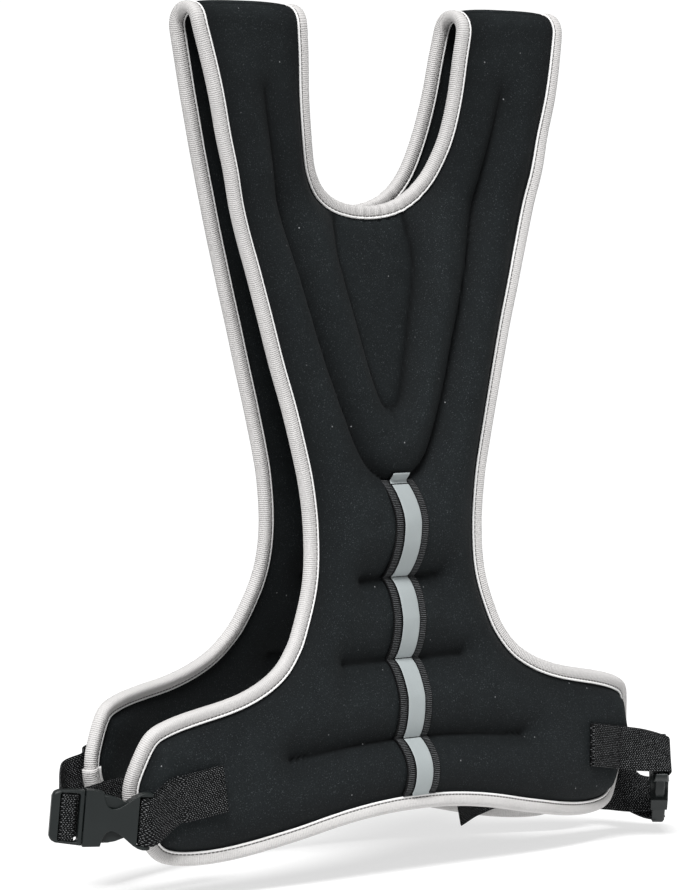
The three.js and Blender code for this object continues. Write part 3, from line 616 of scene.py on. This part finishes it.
# Across the folded tape from the stitched rim on the outer face to the fold: in from the edge, through
TAPE_HALF = np.array([
    [6.5, 2.1], [6.55, 2.7], [6.2, 3.15], [5.7, 3.1], [5.25, 2.75], [4.95, 2.55], [4.6, 2.75], [4.0, 3.05],
    [2.6, 3.3], [1.0, 3.3], [-0.2, 2.95], [-0.95, 2.1], [-1.3, 1.0],
])
TAPE_PROFILE = np.vstack([TAPE_HALF, [[-1.4, 0.0]], (TAPE_HALF * [1, -1])[::-1], [[6.0, -2.02], [6.0, 2.02]]])


def ribbed_tape():
    """Pale ribbed tape: fine cross ribs, a painted highlight along its rim, and a stitched line near the rim
    over painted shade in its groove.
    """
    material, shader, place, way = new_material("ribbed edge tape", Roughness=0.75, Sheen_Weight=0.1)
    run, across = way.parts()
    ribs = run.waves(0.00115)
    fibres, soft = noise(place, 900, 3), noise(place, 42, 2)
    # The stitched line: painted shade along the whole groove, with dashes of dark thread over it
    line = 1 - (across - TAPE_STITCH * MM).math("ABSOLUTE").step(0.00025, 0.0005)
    dashes = (run / 0.0026).math("FRACT")
    stitches = line * (dashes.step(0.12, 0.2) * (1 - dashes.step(0.75, 0.85)) * 0.55 + 0.35)
    # A painted highlight along the tape's rim, where its edge catches the light
    rim = across.step(0.0051, 0.0055)
    cloth = (fibres * 0.5 + soft * 0.5 + ribs * 0.12).mix((0.46, 0.45, 0.445), (0.70, 0.685, 0.675))
    bright = (rim * 0.8).mix(cloth, (0.90, 0.895, 0.89))
    drive(shader, "Base Color", stitches.mix(bright, (0.07, 0.067, 0.065)))
    emboss(shader, ribs * (1 - rim) * 0.6 + fibres * 0.5 - line * 1.2, 0.55, 0.0004)
    return material


tape_cloth = ribbed_tape()


def swept(name, points, sides, ups, profile, material, is_loop):
    """Cloth of one section that runs through points: the profile's pairs lie along sides and ups."""
    if is_loop:
        points, sides, ups = (np.vstack([rows, rows[:1]]) for rows in (points, sides, ups))
    profile = np.vstack([profile, profile[:1]])
    gaps = np.linalg.norm(np.diff(points, axis=0), axis=1)
    run = np.concatenate([[0], np.cumsum(gaps)]) * MM
    last, rim = len(points) - 1, len(profile) - 1
    bm = bmesh.new()
    layer = bm.loops.layers.uv.verify()
    corners, along, across = add_cloth(bm, last, rim)
    i, k = np.rint(along * last).astype(int), np.rint(across * rim).astype(int)
    spots = (points[i] + sides[i] * profile[k, :1] + ups[i] * profile[k, 1:]) * MM
    for corner, spot, flat in zip(corners, spots, np.stack([run[i], profile[k, 0] * MM], axis=-1)):
        corner.co = spot
        for loop in corner.link_loops:
            loop[layer].uv = flat
    bmesh.ops.remove_doubles(bm, verts=bm.verts, dist=0.001 * MM)
    if not is_loop:
        bmesh.ops.holes_fill(bm, edges=[edge for edge in bm.edges if edge.is_boundary])
    bmesh.ops.recalc_face_normals(bm, faces=bm.faces)
    return finish_mesh(bm, name, material)


def eased(rows, amount):
    """Each row moved towards the middle of its neighbours in the loop."""
    return rows + amount * (np.roll(rows, 1, axis=0) + np.roll(rows, -1, axis=0) - 2 * rows) / 4


def edge_loop(outline):
    """Points, inward ways and outward ways along both panels' edges, in one loop."""
    points, ups = [], []
    for facing, side in ((FRONT, 1), (FRONT, -1), (BACK, -1), (BACK, 1)):
        run = outline(facing)
        if (facing == FRONT) == (side < 0):
            run = run[::-1][1:]
        points.append(middle_surface(facing, run[:, 0] * side, run[:, 1]))
        ups.append(outward(facing, run[:, 0] * side, run[:, 1]))
    points, ups = np.vstack(points), np.vstack(ups)
    keep = np.linalg.norm(points - np.roll(points, 1, axis=0), axis=1) > LEAST_STEP
    points, ups = points[keep], ups[keep]
    on_wing = smooth((-WING_BELOW - points[:, 2:]) / WING_BLEND)
    for amount in [1] * TAPE_EASING + [on_wing] * WING_EASING:
        points, ups = eased(points, amount), eased(ups, amount)
    ups = unit(ups)
    tangents = np.roll(points, -1, axis=0) - np.roll(points, 1, axis=0)
    return points, unit(np.cross(tangents, ups)), ups


def make_tape(name, node, outline, inward, pucker):
    """One loop of tape, gathered a little at the bottom of the neck, by pucker millimetres."""
    points, sides, ups = edge_loop(outline)
    run = np.cumsum(np.linalg.norm(points - np.roll(points, 1, axis=0), axis=1))
    wave = pucker * (1.2 + np.sin(run * 1.05) + 0.6 * np.sin(run * 0.63 + 1.0))
    near_neck = np.prod(bell(points[:, [0, 2]] - PUCKER_AT, PUCKER_REACH), axis=1)
    points = points + ups * (wave * near_neck)[:, None]
    piece = swept(name, points, sides * inward, ups, TAPE_PROFILE, tape_cloth, True)
    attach(piece, "root")
    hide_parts(node)


make_tape("outer_tape", "outer_binding", outer_outline, 1, 0.0)
make_tape("neck_tape", "neck_binding", neck_outline, -1, 0.42)

# The end of the outer tape: its last few millimetres are folded under and lapped over the start of the
# loop on the back panel's left wing, which leaves a short raised tab.

LAP_SPAN = np.array([0.47, 0.76])
LAP_WIDENING = 1.35
LAP_LAYER = 0.75
LAP_SHIFT = 0.4

lap_rows = np.linspace(*(ROOT_ROW + LAP_SPAN * (HEM_ROW - ROOT_ROW)), 9)
lap_across, lap_level = wing_place(np.full_like(lap_rows, TIP_RIB), lap_rows).T * [[-1], [1]]
lap_points = middle_surface(BACK, lap_across, lap_level)
lap_ups = outward(BACK, lap_across, lap_level)
lap_sides = unit(np.cross(np.gradient(lap_points, axis=0), lap_ups))
lap_profile = TAPE_PROFILE * [LAP_WIDENING, 1] - [LAP_SHIFT, 0] + np.sign(TAPE_PROFILE) * [0, LAP_LAYER]
lap = swept("tape_lap", lap_points, lap_sides, lap_ups, lap_profile, tape_cloth, False)
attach(lap, "root")
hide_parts("binding_end_tab")

# The middle strip: black webbing laid down the front and caught under the cross seams, so that it rises over
# each pillow and dips at each seam, with narrower reflective tape sewn on it.

WEBBING_WIDTH = 25.4
WEBBING_THICKNESS = 1.4
REFLECTIVE_WIDTH = 12.7
REFLECTIVE_THICKNESS = 0.5
LAYER_GAP = 0.4

# Where the strip starts and ends and how far its flap stands over it, as drops in the pattern
STRIP_SPAN = (0.559, 0.9464)
FLAP = 0.009
STRIP_STEPS = 150
STRIP_REACH = 9


def ribbed_webbing():
    """Black webbing with fine cross ribs, and pale glints of light painted on the ribs near both selvedges.
    """
    material, shader, place, way = new_material("ribbed webbing", Roughness=0.7, Specular_IOR_Level=0.12)
    run, across = way.parts()
    ribs, grain = run.waves(0.00107), noise(place, 1300, 2)
    side = across.math("ABSOLUTE")
    # Painted highlights: pale glints on the cross ribs, only near the selvedges
    edge = side.step(0.0066, 0.0085) * (1 - side.step(0.0117, 0.0124))
    pick_glints = ribs.step(-0.1, 0.7) * edge * (grain * 1.6 - 0.15)
    drive(shader, "Base Color", pick_glints.mix((0.003, 0.0034, 0.0037), (0.15, 0.155, 0.16)))
    emboss(shader, ribs + grain * 0.5, 0.7, 0.0004)
    return material


strip_webbing = ribbed_webbing()


def reflective_cloth():
    """Glass-bead reflective tape: silver grey, softly metallic, with a fine grain and soft streaks of lighter
    and darker grey.
    """
    material, shader, place, _ = new_material("reflective tape", Metallic=0.1, Specular_IOR_Level=0.3)
    grain, streaks = noise(place, 2400, 1), noise(place, 60, 4)
    drive(shader, "Base Color", (grain * 0.4 + streaks * 0.6).mix((0.29, 0.32, 0.325), (0.41, 0.445, 0.45)))
    drive(shader, "Roughness", 0.58 + streaks * 0.16)
    emboss(shader, grain + streaks, 0.15, 0.0003)
    return material


silver = reflective_cloth()


def band_profile(width, thickness):
    """A flat band's section with rounded selvedges."""
    half, rim = width / 2, thickness / 2
    upper = [[-half, 0.2 * rim], [-half + 0.25, 0.75 * rim], [-half + 0.8, rim]]
    upper += [[x, rim * 0.96] for x in np.linspace(-half + 2.2, half - 2.2, 5)]
    upper += [[half - 0.8, rim], [half - 0.25, 0.75 * rim], [half, 0.2 * rim]]
    upper = np.array(upper)
    return np.vstack([upper, (upper * [1, -1])[::-1]])


def strip_run(lift, top, end):
    """The line down the middle that a strip takes over the pillows and into the seams, and its sides."""
    levels = np.linspace(top, end, STRIP_STEPS) * BODY_LENGTH
    under = [
        face_surface(FRONT, np.full_like(levels, across), levels, True)
        for across in np.linspace(0, STRIP_REACH, 4)
    ]
    foremost = np.min([rows[:, 1] for rows in under], axis=0)
    points = np.stack([np.zeros_like(levels), foremost - lift, under[0][:, 2]], axis=-1)
    sides = np.tile([1.0, 0.0, 0.0], (STRIP_STEPS, 1))
    ups = unit(np.cross(sides, np.gradient(points, axis=0)))
    return points, sides, -ups * np.sign(ups[:, 1:2])


strip = swept(
    "front_strip", *strip_run(LAYER_GAP + WEBBING_THICKNESS / 2, *STRIP_SPAN),
    band_profile(WEBBING_WIDTH, WEBBING_THICKNESS), strip_webbing, False,
)
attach(strip, "root")
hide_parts("front_webbing")

tape_lift = WEBBING_THICKNESS + REFLECTIVE_THICKNESS / 2 + LAYER_GAP * 1.6
tape_points, tape_sides, tape_ups = strip_run(tape_lift, STRIP_SPAN[0] - FLAP, STRIP_SPAN[1])
reflective = swept(
    "reflective_strip", tape_points, tape_sides, tape_ups,
    band_profile(REFLECTIVE_WIDTH, REFLECTIVE_THICKNESS), silver, False,
)
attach(reflective, "root")
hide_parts("reflective_tape")

# The threads that catch the strip: black polyester, one row of six stitches over the reflective tape in each
# cross seam, drawn tight into the padding.

THREAD_RADIUS = 0.34
THREAD_REACH = REFLECTIVE_WIDTH / 2 + 0.8
THREAD_STEPS = 25
STITCH_LIFT = 0.32
STITCH_HEIGHT = 0.08
STITCHED_AT = (0.562, 0.678, 0.779, 0.876)


def sewing_thread():
    """Black polyester thread with a dull gloss."""
    material, shader, place, _ = new_material("sewing thread", Roughness=0.6, Specular_IOR_Level=0.3)
    drive(shader, "Base Color", noise(place, 2600, 1).mix((0.006, 0.0065, 0.007), (0.03, 0.032, 0.034)))
    return material


thread = sewing_thread()
turns = np.linspace(0, 2 * np.pi, 8, endpoint=False)
thread_profile = np.stack([np.cos(turns), np.sin(turns)], axis=-1) * THREAD_RADIUS
thread_sides = np.tile([0.0, 0.0, 1.0], (THREAD_STEPS, 1))
thread_ups = np.tile([0.0, -1.0, 0.0], (THREAD_STEPS, 1))
tape_drops = np.linspace(STRIP_SPAN[0] - FLAP, STRIP_SPAN[1], STRIP_STEPS)
for number, drop in enumerate(STITCHED_AT, 1):
    nearest = np.argmin(np.abs(tape_drops - drop))
    line = np.tile(tape_points[nearest], (THREAD_STEPS, 1))
    line[:, 0] = np.linspace(-THREAD_REACH, THREAD_REACH, THREAD_STEPS)
    lift = STITCH_LIFT + STITCH_HEIGHT * np.sin(np.linspace(0, 12 * np.pi, THREAD_STEPS))
    line = line + tape_ups[nearest] * lift[:, None]
    stitches = swept(
        f"strip_stitches_{number}", line, thread_sides, thread_ups, thread_profile, thread, False
    )
    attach(stitches, "root")

# The side-release buckles: moulded acetal. The socket has a finger notch on each side, where the plug's two
# prongs show, and a bar for its tab. The plug ends in a frame with a middle bar that adjusts the strap.

BUCKLE_WIDTH = 31
BUCKLE_THICKNESS = 11
SOCKET_LENGTH = 37
SOCKET_BAR = 3
SOCKET_BAR_THICKNESS = 4.4
SOCKET_SLOT = 4.6
PLUG_LENGTH = 18
PLUG_THICKNESS = 6
PLUG_END_BAR = 4.5
PLUG_SIDE_RAIL = 1.9
PLUG_MIDDLE_BAR = 3
PLUG_BASE = 2.4
BUCKLE_CLEARANCE = 0.35
NOTCH_DEPTH = 9.5
SOCKET_TAPER = 13
PLUG_TAPER = 5

# Side, across and drop as in the pattern, forward as a share of the body's depth, turn and rise in degrees
BUCKLES = {
    "left": (-1, 0.980, 0.941, 0.285, 32, 5),
    "right": (1, 1.030, 0.933, 0.340, 47, -41),
}


def moulded_plastic():
    """Acetal from a lightly textured mould: nearly black green-grey, a soft gloss and faint scuffs."""
    material, shader, place, _ = new_material("moulded acetal", Specular_IOR_Level=0.3)
    grain, scuffs = noise(place, 1300, 2), noise(place, 70, 5)
    colour = (grain * 0.3 + scuffs * 0.5).mix((0.0065, 0.0088, 0.0088), (0.014, 0.018, 0.018))
    drive(shader, "Base Color", colour)
    drive(shader, "Roughness", 0.34 + scuffs * 0.18)
    emboss(shader, grain + scuffs * 0.5, 0.12, 0.0002)
    return material


acetal = moulded_plastic()


def buckle_matrix(side, across, drop, forward, turn, rise):
    """Puts a buckle's own length, width and thickness where it hangs."""
    heading, lift = math.radians(turn), math.radians(rise)
    length = Vector((
        side * math.cos(heading) * math.cos(lift), math.sin(heading) * math.cos(lift), math.sin(lift)
    ))
    through = length.cross(Vector((0, 0, 1))).normalized() * side
    width = through.cross(length)
    matrix = Matrix((length, width, through)).transposed().to_4x4()
    matrix.translation = Vector((
        side * across * WING_HALF_WIDTH, -forward * BODY_DEPTH, SHOULDER_CENTRE - drop * BODY_LENGTH
    ))
    return matrix


def add_plate(bm, outline, thickness, window=()):
    """A flat moulding: its outline, less a window, drawn out to its thickness."""
    rings = [[bm.verts.new((x, y, -thickness / 2)) for x, y in ring] for ring in (outline, window) if ring]
    if window:
        edges = [bm.edges.new(pair) for ring in rings for pair in zip(ring, ring[1:] + ring[:1])]
        faces = bmesh.ops.bridge_loops(bm, edges=edges)["faces"]
    else:
        faces = [bm.faces.new(rings[0])]
    drawn = bmesh.ops.extrude_face_region(bm, geom=faces)["geom"]
    moved = [item for item in drawn if isinstance(item, bmesh.types.BMVert)]
    bmesh.ops.translate(bm, verts=moved, vec=(0, 0, thickness))


def moulding(name, parts, matrix, crown):
    """Joins plates into one moulded piece with rounded rims and puts it in its place."""
    bm = bmesh.new()
    for outline, thickness, window, round_over in parts:
        plate = bmesh.new()
        add_plate(plate, outline, thickness, window)
        bmesh.ops.recalc_face_normals(plate, faces=plate.faces)
        for corner in plate.verts:
            corner.co.z *= crown(corner.co)
        rims = [edge for edge in plate.edges if len(edge.link_faces) == 2 and edge.calc_face_angle() > 0.6]
        bmesh.ops.bevel(
            plate, geom=rims, offset=round_over, segments=3, profile=0.5, affect="EDGES", material=-1,
            clamp_overlap=True,
        )
        made = bpy.data.meshes.new("plate")
        plate.to_mesh(made)
        plate.free()
        bm.from_mesh(made)
        bpy.data.meshes.remove(made)
    bmesh.ops.transform(bm, matrix=Matrix.Scale(MM, 4) @ matrix, verts=bm.verts)
    bmesh.ops.recalc_face_normals(bm, faces=bm.faces)
    piece = finish_mesh(bm, name, acetal)
    weighted = piece.modifiers.new("shading", "WEIGHTED_NORMAL")
    weighted.keep_sharp = True
    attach(piece, "root")
    return piece


def rectangle(x0, x1, half):
    """The outline of a plain bar."""
    return [(x0, -half), (x1, -half), (x1, half), (x0, half)]


def both_sides(half):
    """Half an outline with its mirror image, as one ring."""
    return [*half, *[(x, -y) for x, y in reversed(half)]]


def socket_parts():
    """The socket's plates: its body with two notches, and the bar for the tab."""
    half = BUCKLE_WIDTH / 2
    rail = WEBBING_WIDTH / 2 + 0.6
    wall = SOCKET_BAR + SOCKET_SLOT
    notch = [
        (0.11, 0.00), (0.18, 0.07), (0.26, 0.24), (0.34, 0.48), (0.42, 0.72), (0.49, 0.90), (0.55, 0.99),
        (0.61, 1.00), (0.66, 0.90), (0.70, 0.66), (0.725, 0.36), (0.74, 0.08),
    ]
    curve = [(along * SOCKET_LENGTH, half - depth * NOTCH_DEPTH) for along, depth in notch]
    side = [(wall, rail), (0.6, rail), (0.0, rail + 0.6), (0.4, half - 0.5), (1.6, half), *curve,
            (SOCKET_LENGTH, half)]
    bar = rectangle(0.2, SOCKET_BAR, rail + 0.4)
    return [(both_sides(side), BUCKLE_THICKNESS, (), 0.8), (bar, SOCKET_BAR_THICKNESS, (), 1.0)]


def plug_parts():
    """The plug's plates: its frame, its middle bar and its two prongs."""
    mouth = SOCKET_LENGTH + BUCKLE_CLEARANCE
    end = SOCKET_LENGTH + PLUG_LENGTH
    half = BUCKLE_WIDTH / 2 - 0.5
    body = both_sides([(mouth, half), (end - 3.4, half - 0.9), (end - 1.1, half - 1.9), (end, half - 4.2)])
    start, stop = mouth + PLUG_BASE, end - PLUG_END_BAR
    middle = (start + stop) / 2
    rail = half - PLUG_SIDE_RAIL
    window = both_sides([(start, rail - 1), (start + 0.5, rail), (stop - 0.5, rail), (stop, rail - 1)])
    bar = rectangle(middle - PLUG_MIDDLE_BAR / 2, middle + PLUG_MIDDLE_BAR / 2, half - PLUG_SIDE_RAIL + 0.4)
    inside = BUCKLE_WIDTH / 2 - 2.55
    prong = [
        (mouth + 1, inside - 0.8), (mouth - 8, inside - 0.9), (mouth - 11, inside), (23, inside - 0.3),
        (19, inside - 1.3), (14, inside - 3.6), (10, inside - 6.2), (10, inside - 8.5),
        (mouth + 1, inside - 5.5),
    ]
    other = [(x, -y) for x, y in reversed(prong)]
    return [
        (body, PLUG_THICKNESS + 1.8, window, 0.9), (bar, PLUG_MIDDLE_BAR, (), 0.7),
        (prong, PLUG_THICKNESS - 0.4, (), 1.0), (other, PLUG_THICKNESS - 0.4, (), 1.0),
    ]


def socket_crown(spot):
    """How much of its thickness the socket keeps: less at its bar and its sides."""
    taper = 0.70 + 0.30 * float(smooth(spot.x / SOCKET_TAPER))
    return taper * (1 - 0.10 * (spot.y / (BUCKLE_WIDTH / 2)) ** 2)


def plug_crown(spot):
    """How much of its thickness the plug keeps: less near its end."""
    to_end = (spot.x - SOCKET_LENGTH - PLUG_LENGTH + PLUG_TAPER) / PLUG_TAPER
    return 1 - 0.42 * max(to_end, 0) ** 2


for name, hung in BUCKLES.items():
    matrix = buckle_matrix(*hung)
    socket = moulding(f"{name}_socket_body", socket_parts(), matrix, socket_crown)
    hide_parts(f"{name}_buckle_socket")
    plug = moulding(f"{name}_plug_body", plug_parts(), matrix, plug_crown)
    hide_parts(f"{name}_buckle_plug")

# The side straps: webbing sewn on the wings. A short doubled tab on each front wing holds the socket. A
# longer strap from each back wing goes round the plug's middle bar and ends in a free tail.

TAPE_REACH = 3.5
LAPPED_TAPE_REACH = 4.6

# Where the webbing is sewn and its tails run: across and drop as in the pattern, how far behind the middle
TAB_SPAN = (0.725, 0.880)
TAB_DROPS = (0.912, 0.920)
STRAP_SPAN = (0.740, 1.032)
STRAP_DROP = 0.915
STRAP_SAG = 0.018
TAILS = {
    "left": [(0.97, 0.925, 0.00), (0.80, 0.922, 0.03), (0.62, 0.918, 0.06)],
    "right": [
        (1.00, 0.985, 0.00), (0.80, 0.975, 0.02), (0.60, 0.962, 0.03), (0.46, 0.972, 0.05),
        (0.385, 0.984, 0.06),
    ],
}
SKEW_REMOVED = 0.6
SEWN = np.linspace(0, 1, 6)
REST_ROWS, REST_COLUMNS = np.meshgrid(np.linspace(-0.5, 0.5, 9), np.linspace(-4, 4, 5))


def herringbone():
    """Black herringbone webbing: slanted weft threads that turn at each rib, with small pale glints of light
    painted on in dots.
    """
    material, shader, place, way = new_material("strap webbing", Roughness=0.8, Specular_IOR_Level=0.1)
    run, across = way.parts()
    ribs = (across / 0.0042).math("PINGPONG", 0.5)
    weave = (run / 0.0016 + ribs * 2.6).waves(1) * 0.5 + across.waves(0.00105) * 0.35
    grain = noise(place, 1500, 2)
    # Painted highlights: pale glints where the weave and the grain rise highest
    painted_glints = (weave + grain * 1.6).step(1.15, 1.6) * 0.85
    drive(shader, "Base Color", painted_glints.mix((0.0028, 0.0031, 0.0034), (0.20, 0.205, 0.21)))
    emboss(shader, weave + grain * 0.4, 0.8, 0.0005)
    return material


strap_webbing = herringbone()


def rest_station(facing, across, drop, lift, tape_reach):
    """Where webbing lies on a panel, clear of what is under its width, and the way its width runs."""
    level = drop * BODY_LENGTH
    point = middle_surface(facing, np.array(across), np.array(level))
    normal = outward(facing, np.array(across), np.array(level))
    way = middle_surface(facing, np.array(across), np.array(level - 1.0)) - point
    x = across + REST_COLUMNS.ravel()
    y = level + REST_ROWS.ravel() * WEBBING_WIDTH
    full, _ = padding(x, y)
    to_edge, _, _ = measure(x, y)
    offset = np.where(to_edge < TAPE_BAND, tape_reach, EDGE_THICKNESS / 2 + OUTER_FILL * full)
    cover = middle_surface(facing, x, y) + outward(facing, x, y) * offset[:, None]
    return point + normal * (np.max((cover - point) @ normal) + lift), unit(way)


def loop_stations(matrix, spots):
    """Stations through a buckle, from its length and thickness."""
    way = np.array(matrix.col[1].xyz)
    way = way * np.sign(way[2])
    return [(np.array(matrix @ Vector((along, 0, through))), way) for along, through in spots]


def make_band(name, node, stations):
    """A strap through stations of a point and the way that its width runs."""
    points = np.array([point for point, _ in stations])
    ways = np.array([way for _, way in stations])
    places = steps(0, len(points) - 1, 8)
    line = curve_through(points, places)
    sides = unit(curve_through(ways, places))
    run = unit(np.gradient(line, axis=0))
    sides = unit(sides - run * np.sum(sides * run, axis=1, keepdims=True) * SKEW_REMOVED)
    ups = unit(np.cross(run, sides))
    profile = band_profile(WEBBING_WIDTH, WEBBING_THICKNESS)
    piece = swept(name, line, sides, ups, profile, strap_webbing, False)
    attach(piece, "root")
    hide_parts(node)


def sewn_stations(facing, side, span, drops, lift, tape_reach):
    """The stretch of webbing that is sewn on a wing, with a drop for each of its stations."""
    places = side * (span[0] + (span[1] - span[0]) * SEWN) * WING_HALF_WIDTH
    return [rest_station(facing, across, drop, lift, tape_reach) for across, drop in zip(places, drops)]


def tab_stations(side, matrix):
    """Out over the wing, round the socket's bar and back under itself."""
    def layer(lift):
        drops = TAB_DROPS[0] + (TAB_DROPS[1] - TAB_DROPS[0]) * SEWN
        return sewn_stations(FRONT, side, TAB_SPAN, drops, lift, TAPE_REACH)

    under_lift = LAYER_GAP + WEBBING_THICKNESS / 2
    over = layer(under_lift + WEBBING_THICKNESS + LAYER_GAP)
    under = layer(under_lift)[::-1]
    slot = SOCKET_BAR + SOCKET_SLOT / 2 + 0.9
    reach = SOCKET_BAR_THICKNESS / 2 + WEBBING_THICKNESS / 2 + LAYER_GAP
    corner = WEBBING_THICKNESS
    loop = loop_stations(matrix, [
        (-1, reach), (slot - corner, reach), (slot, reach - corner),
        (slot, corner - reach), (slot - corner, -reach), (-1, -reach),
    ])
    return [*over, *loop, *under]


def strap_stations(name, side, matrix):
    """Out over the wing, round the plug's middle bar and back as a free tail."""
    reach = LAPPED_TAPE_REACH if side < 0 else TAPE_REACH
    drops = STRAP_DROP + STRAP_SAG * SEWN**4
    sewn = sewn_stations(BACK, side, STRAP_SPAN, drops, LAYER_GAP + WEBBING_THICKNESS / 2, reach)
    middle = SOCKET_LENGTH + (BUCKLE_CLEARANCE + PLUG_BASE + PLUG_LENGTH - PLUG_END_BAR) / 2
    wrap = (PLUG_MIDDLE_BAR + WEBBING_THICKNESS) / 2 + LAYER_GAP + 0.15
    away = -PLUG_THICKNESS - WEBBING_THICKNESS
    loop = loop_stations(matrix, [
        (middle + wrap + 1.3, away), (middle + wrap + 1.3, wrap - 1), (middle + wrap + 0.3, wrap),
        (middle - wrap + 1, wrap), (middle - wrap, wrap - 1), (middle - wrap, away),
    ])
    size = np.array([side * WING_HALF_WIDTH, BODY_DEPTH, -BODY_LENGTH])
    top = np.array([0, 0, SHOULDER_CENTRE])
    upwards = np.array([0.0, 0.0, 1.0])
    tail = [(top + size * [across, depth, drop], upwards) for across, drop, depth in TAILS[name]]
    return [*sewn, *loop, *tail]


for name, hung in BUCKLES.items():
    side, matrix = hung[0], buckle_matrix(*hung)
    make_band(f"{name}_tab", f"{name}_socket_strap", tab_stations(side, matrix))
    make_band(f"{name}_strap", f"{name}_adjust_strap", strap_stations(name, side, matrix))

# The floor: a plain pale sheet that glows a little, so that shadows on it stay faint. It lies just below
# the vest's lowest point.

FLOOR_HEIGHT = -0.4855
FLOOR_HALF_WIDTH = 1.1
bm = bmesh.new()
bmesh.ops.create_grid(bm, x_segments=1, y_segments=1, size=FLOOR_HALF_WIDTH)
bmesh.ops.translate(bm, verts=bm.verts, vec=(0, 0, FLOOR_HEIGHT))
floor_material, _, _, _ = new_material(
    "pale floor", Base_Color=(0.4, 0.4, 0.4, 1), Roughness=0.95, Specular_IOR_Level=0.1,
    Emission_Color=(1, 1, 1, 1), Emission_Strength=0.66,
)
floor = finish_mesh(bm, "floor", floor_material)

# Soft studio light: a white room that lights softly from all sides, a broad key light high on the left of the
# camera, and a weaker one on its right.

ROOM_SEEN, ROOM_LIGHT = 0.88, 0.20
world = bpy.data.worlds.new("white room")
world.use_nodes = True
tree = world.node_tree
seen = Wire(tree).out("ShaderNodeLightPath", "Is Camera Ray")
room = tree.nodes["Background"]
room.inputs[0].default_value = (1, 1, 1, 1)
drive(room, "Strength", seen * ROOM_SEEN + ROOM_LIGHT)
bpy.context.scene.world = world
bpy.context.scene.view_settings.view_transform = "Standard"

KEY_FROM = Vector((-0.45, -0.36, 0.82))
FILL_FROM = Vector((0.55, -0.80, 0.25))
for name, source, strength, spread in (("key", KEY_FROM, 4.3, 22), ("fill", FILL_FROM, 0.2, 60)):
    light = bpy.data.lights.new(name, "SUN")
    light.energy = strength
    light.angle = math.radians(spread)
    lamp = bpy.data.objects.new(name, light)
    lamp.rotation_euler = (-source).to_track_quat("-Z", "Y").to_euler()
    bpy.context.scene.collection.objects.link(lamp)

# The camera: at the photograph's angle, on the wearer's right and far off, with a long lens, a little above
# the middle of the vest.

PHOTO_HEIGHT = 890
FOCAL_PIXELS = 4506
CAMERA_PLACE = (-1.746, -1.876, -0.099)
CAMERA_WAY = Vector((0.6759, 0.7367, -0.0566))
camera_data = bpy.data.cameras.new("camera")
camera_data.sensor_width = 36
camera_data.lens = FOCAL_PIXELS / PHOTO_HEIGHT * camera_data.sensor_width
camera_data.clip_end = 100
camera = bpy.data.objects.new("camera", camera_data)
camera.location = CAMERA_PLACE
camera.rotation_euler = CAMERA_WAY.to_track_quat("-Z", "Y").to_euler()
bpy.context.scene.collection.objects.link(camera)
bpy.context.scene.camera = camera
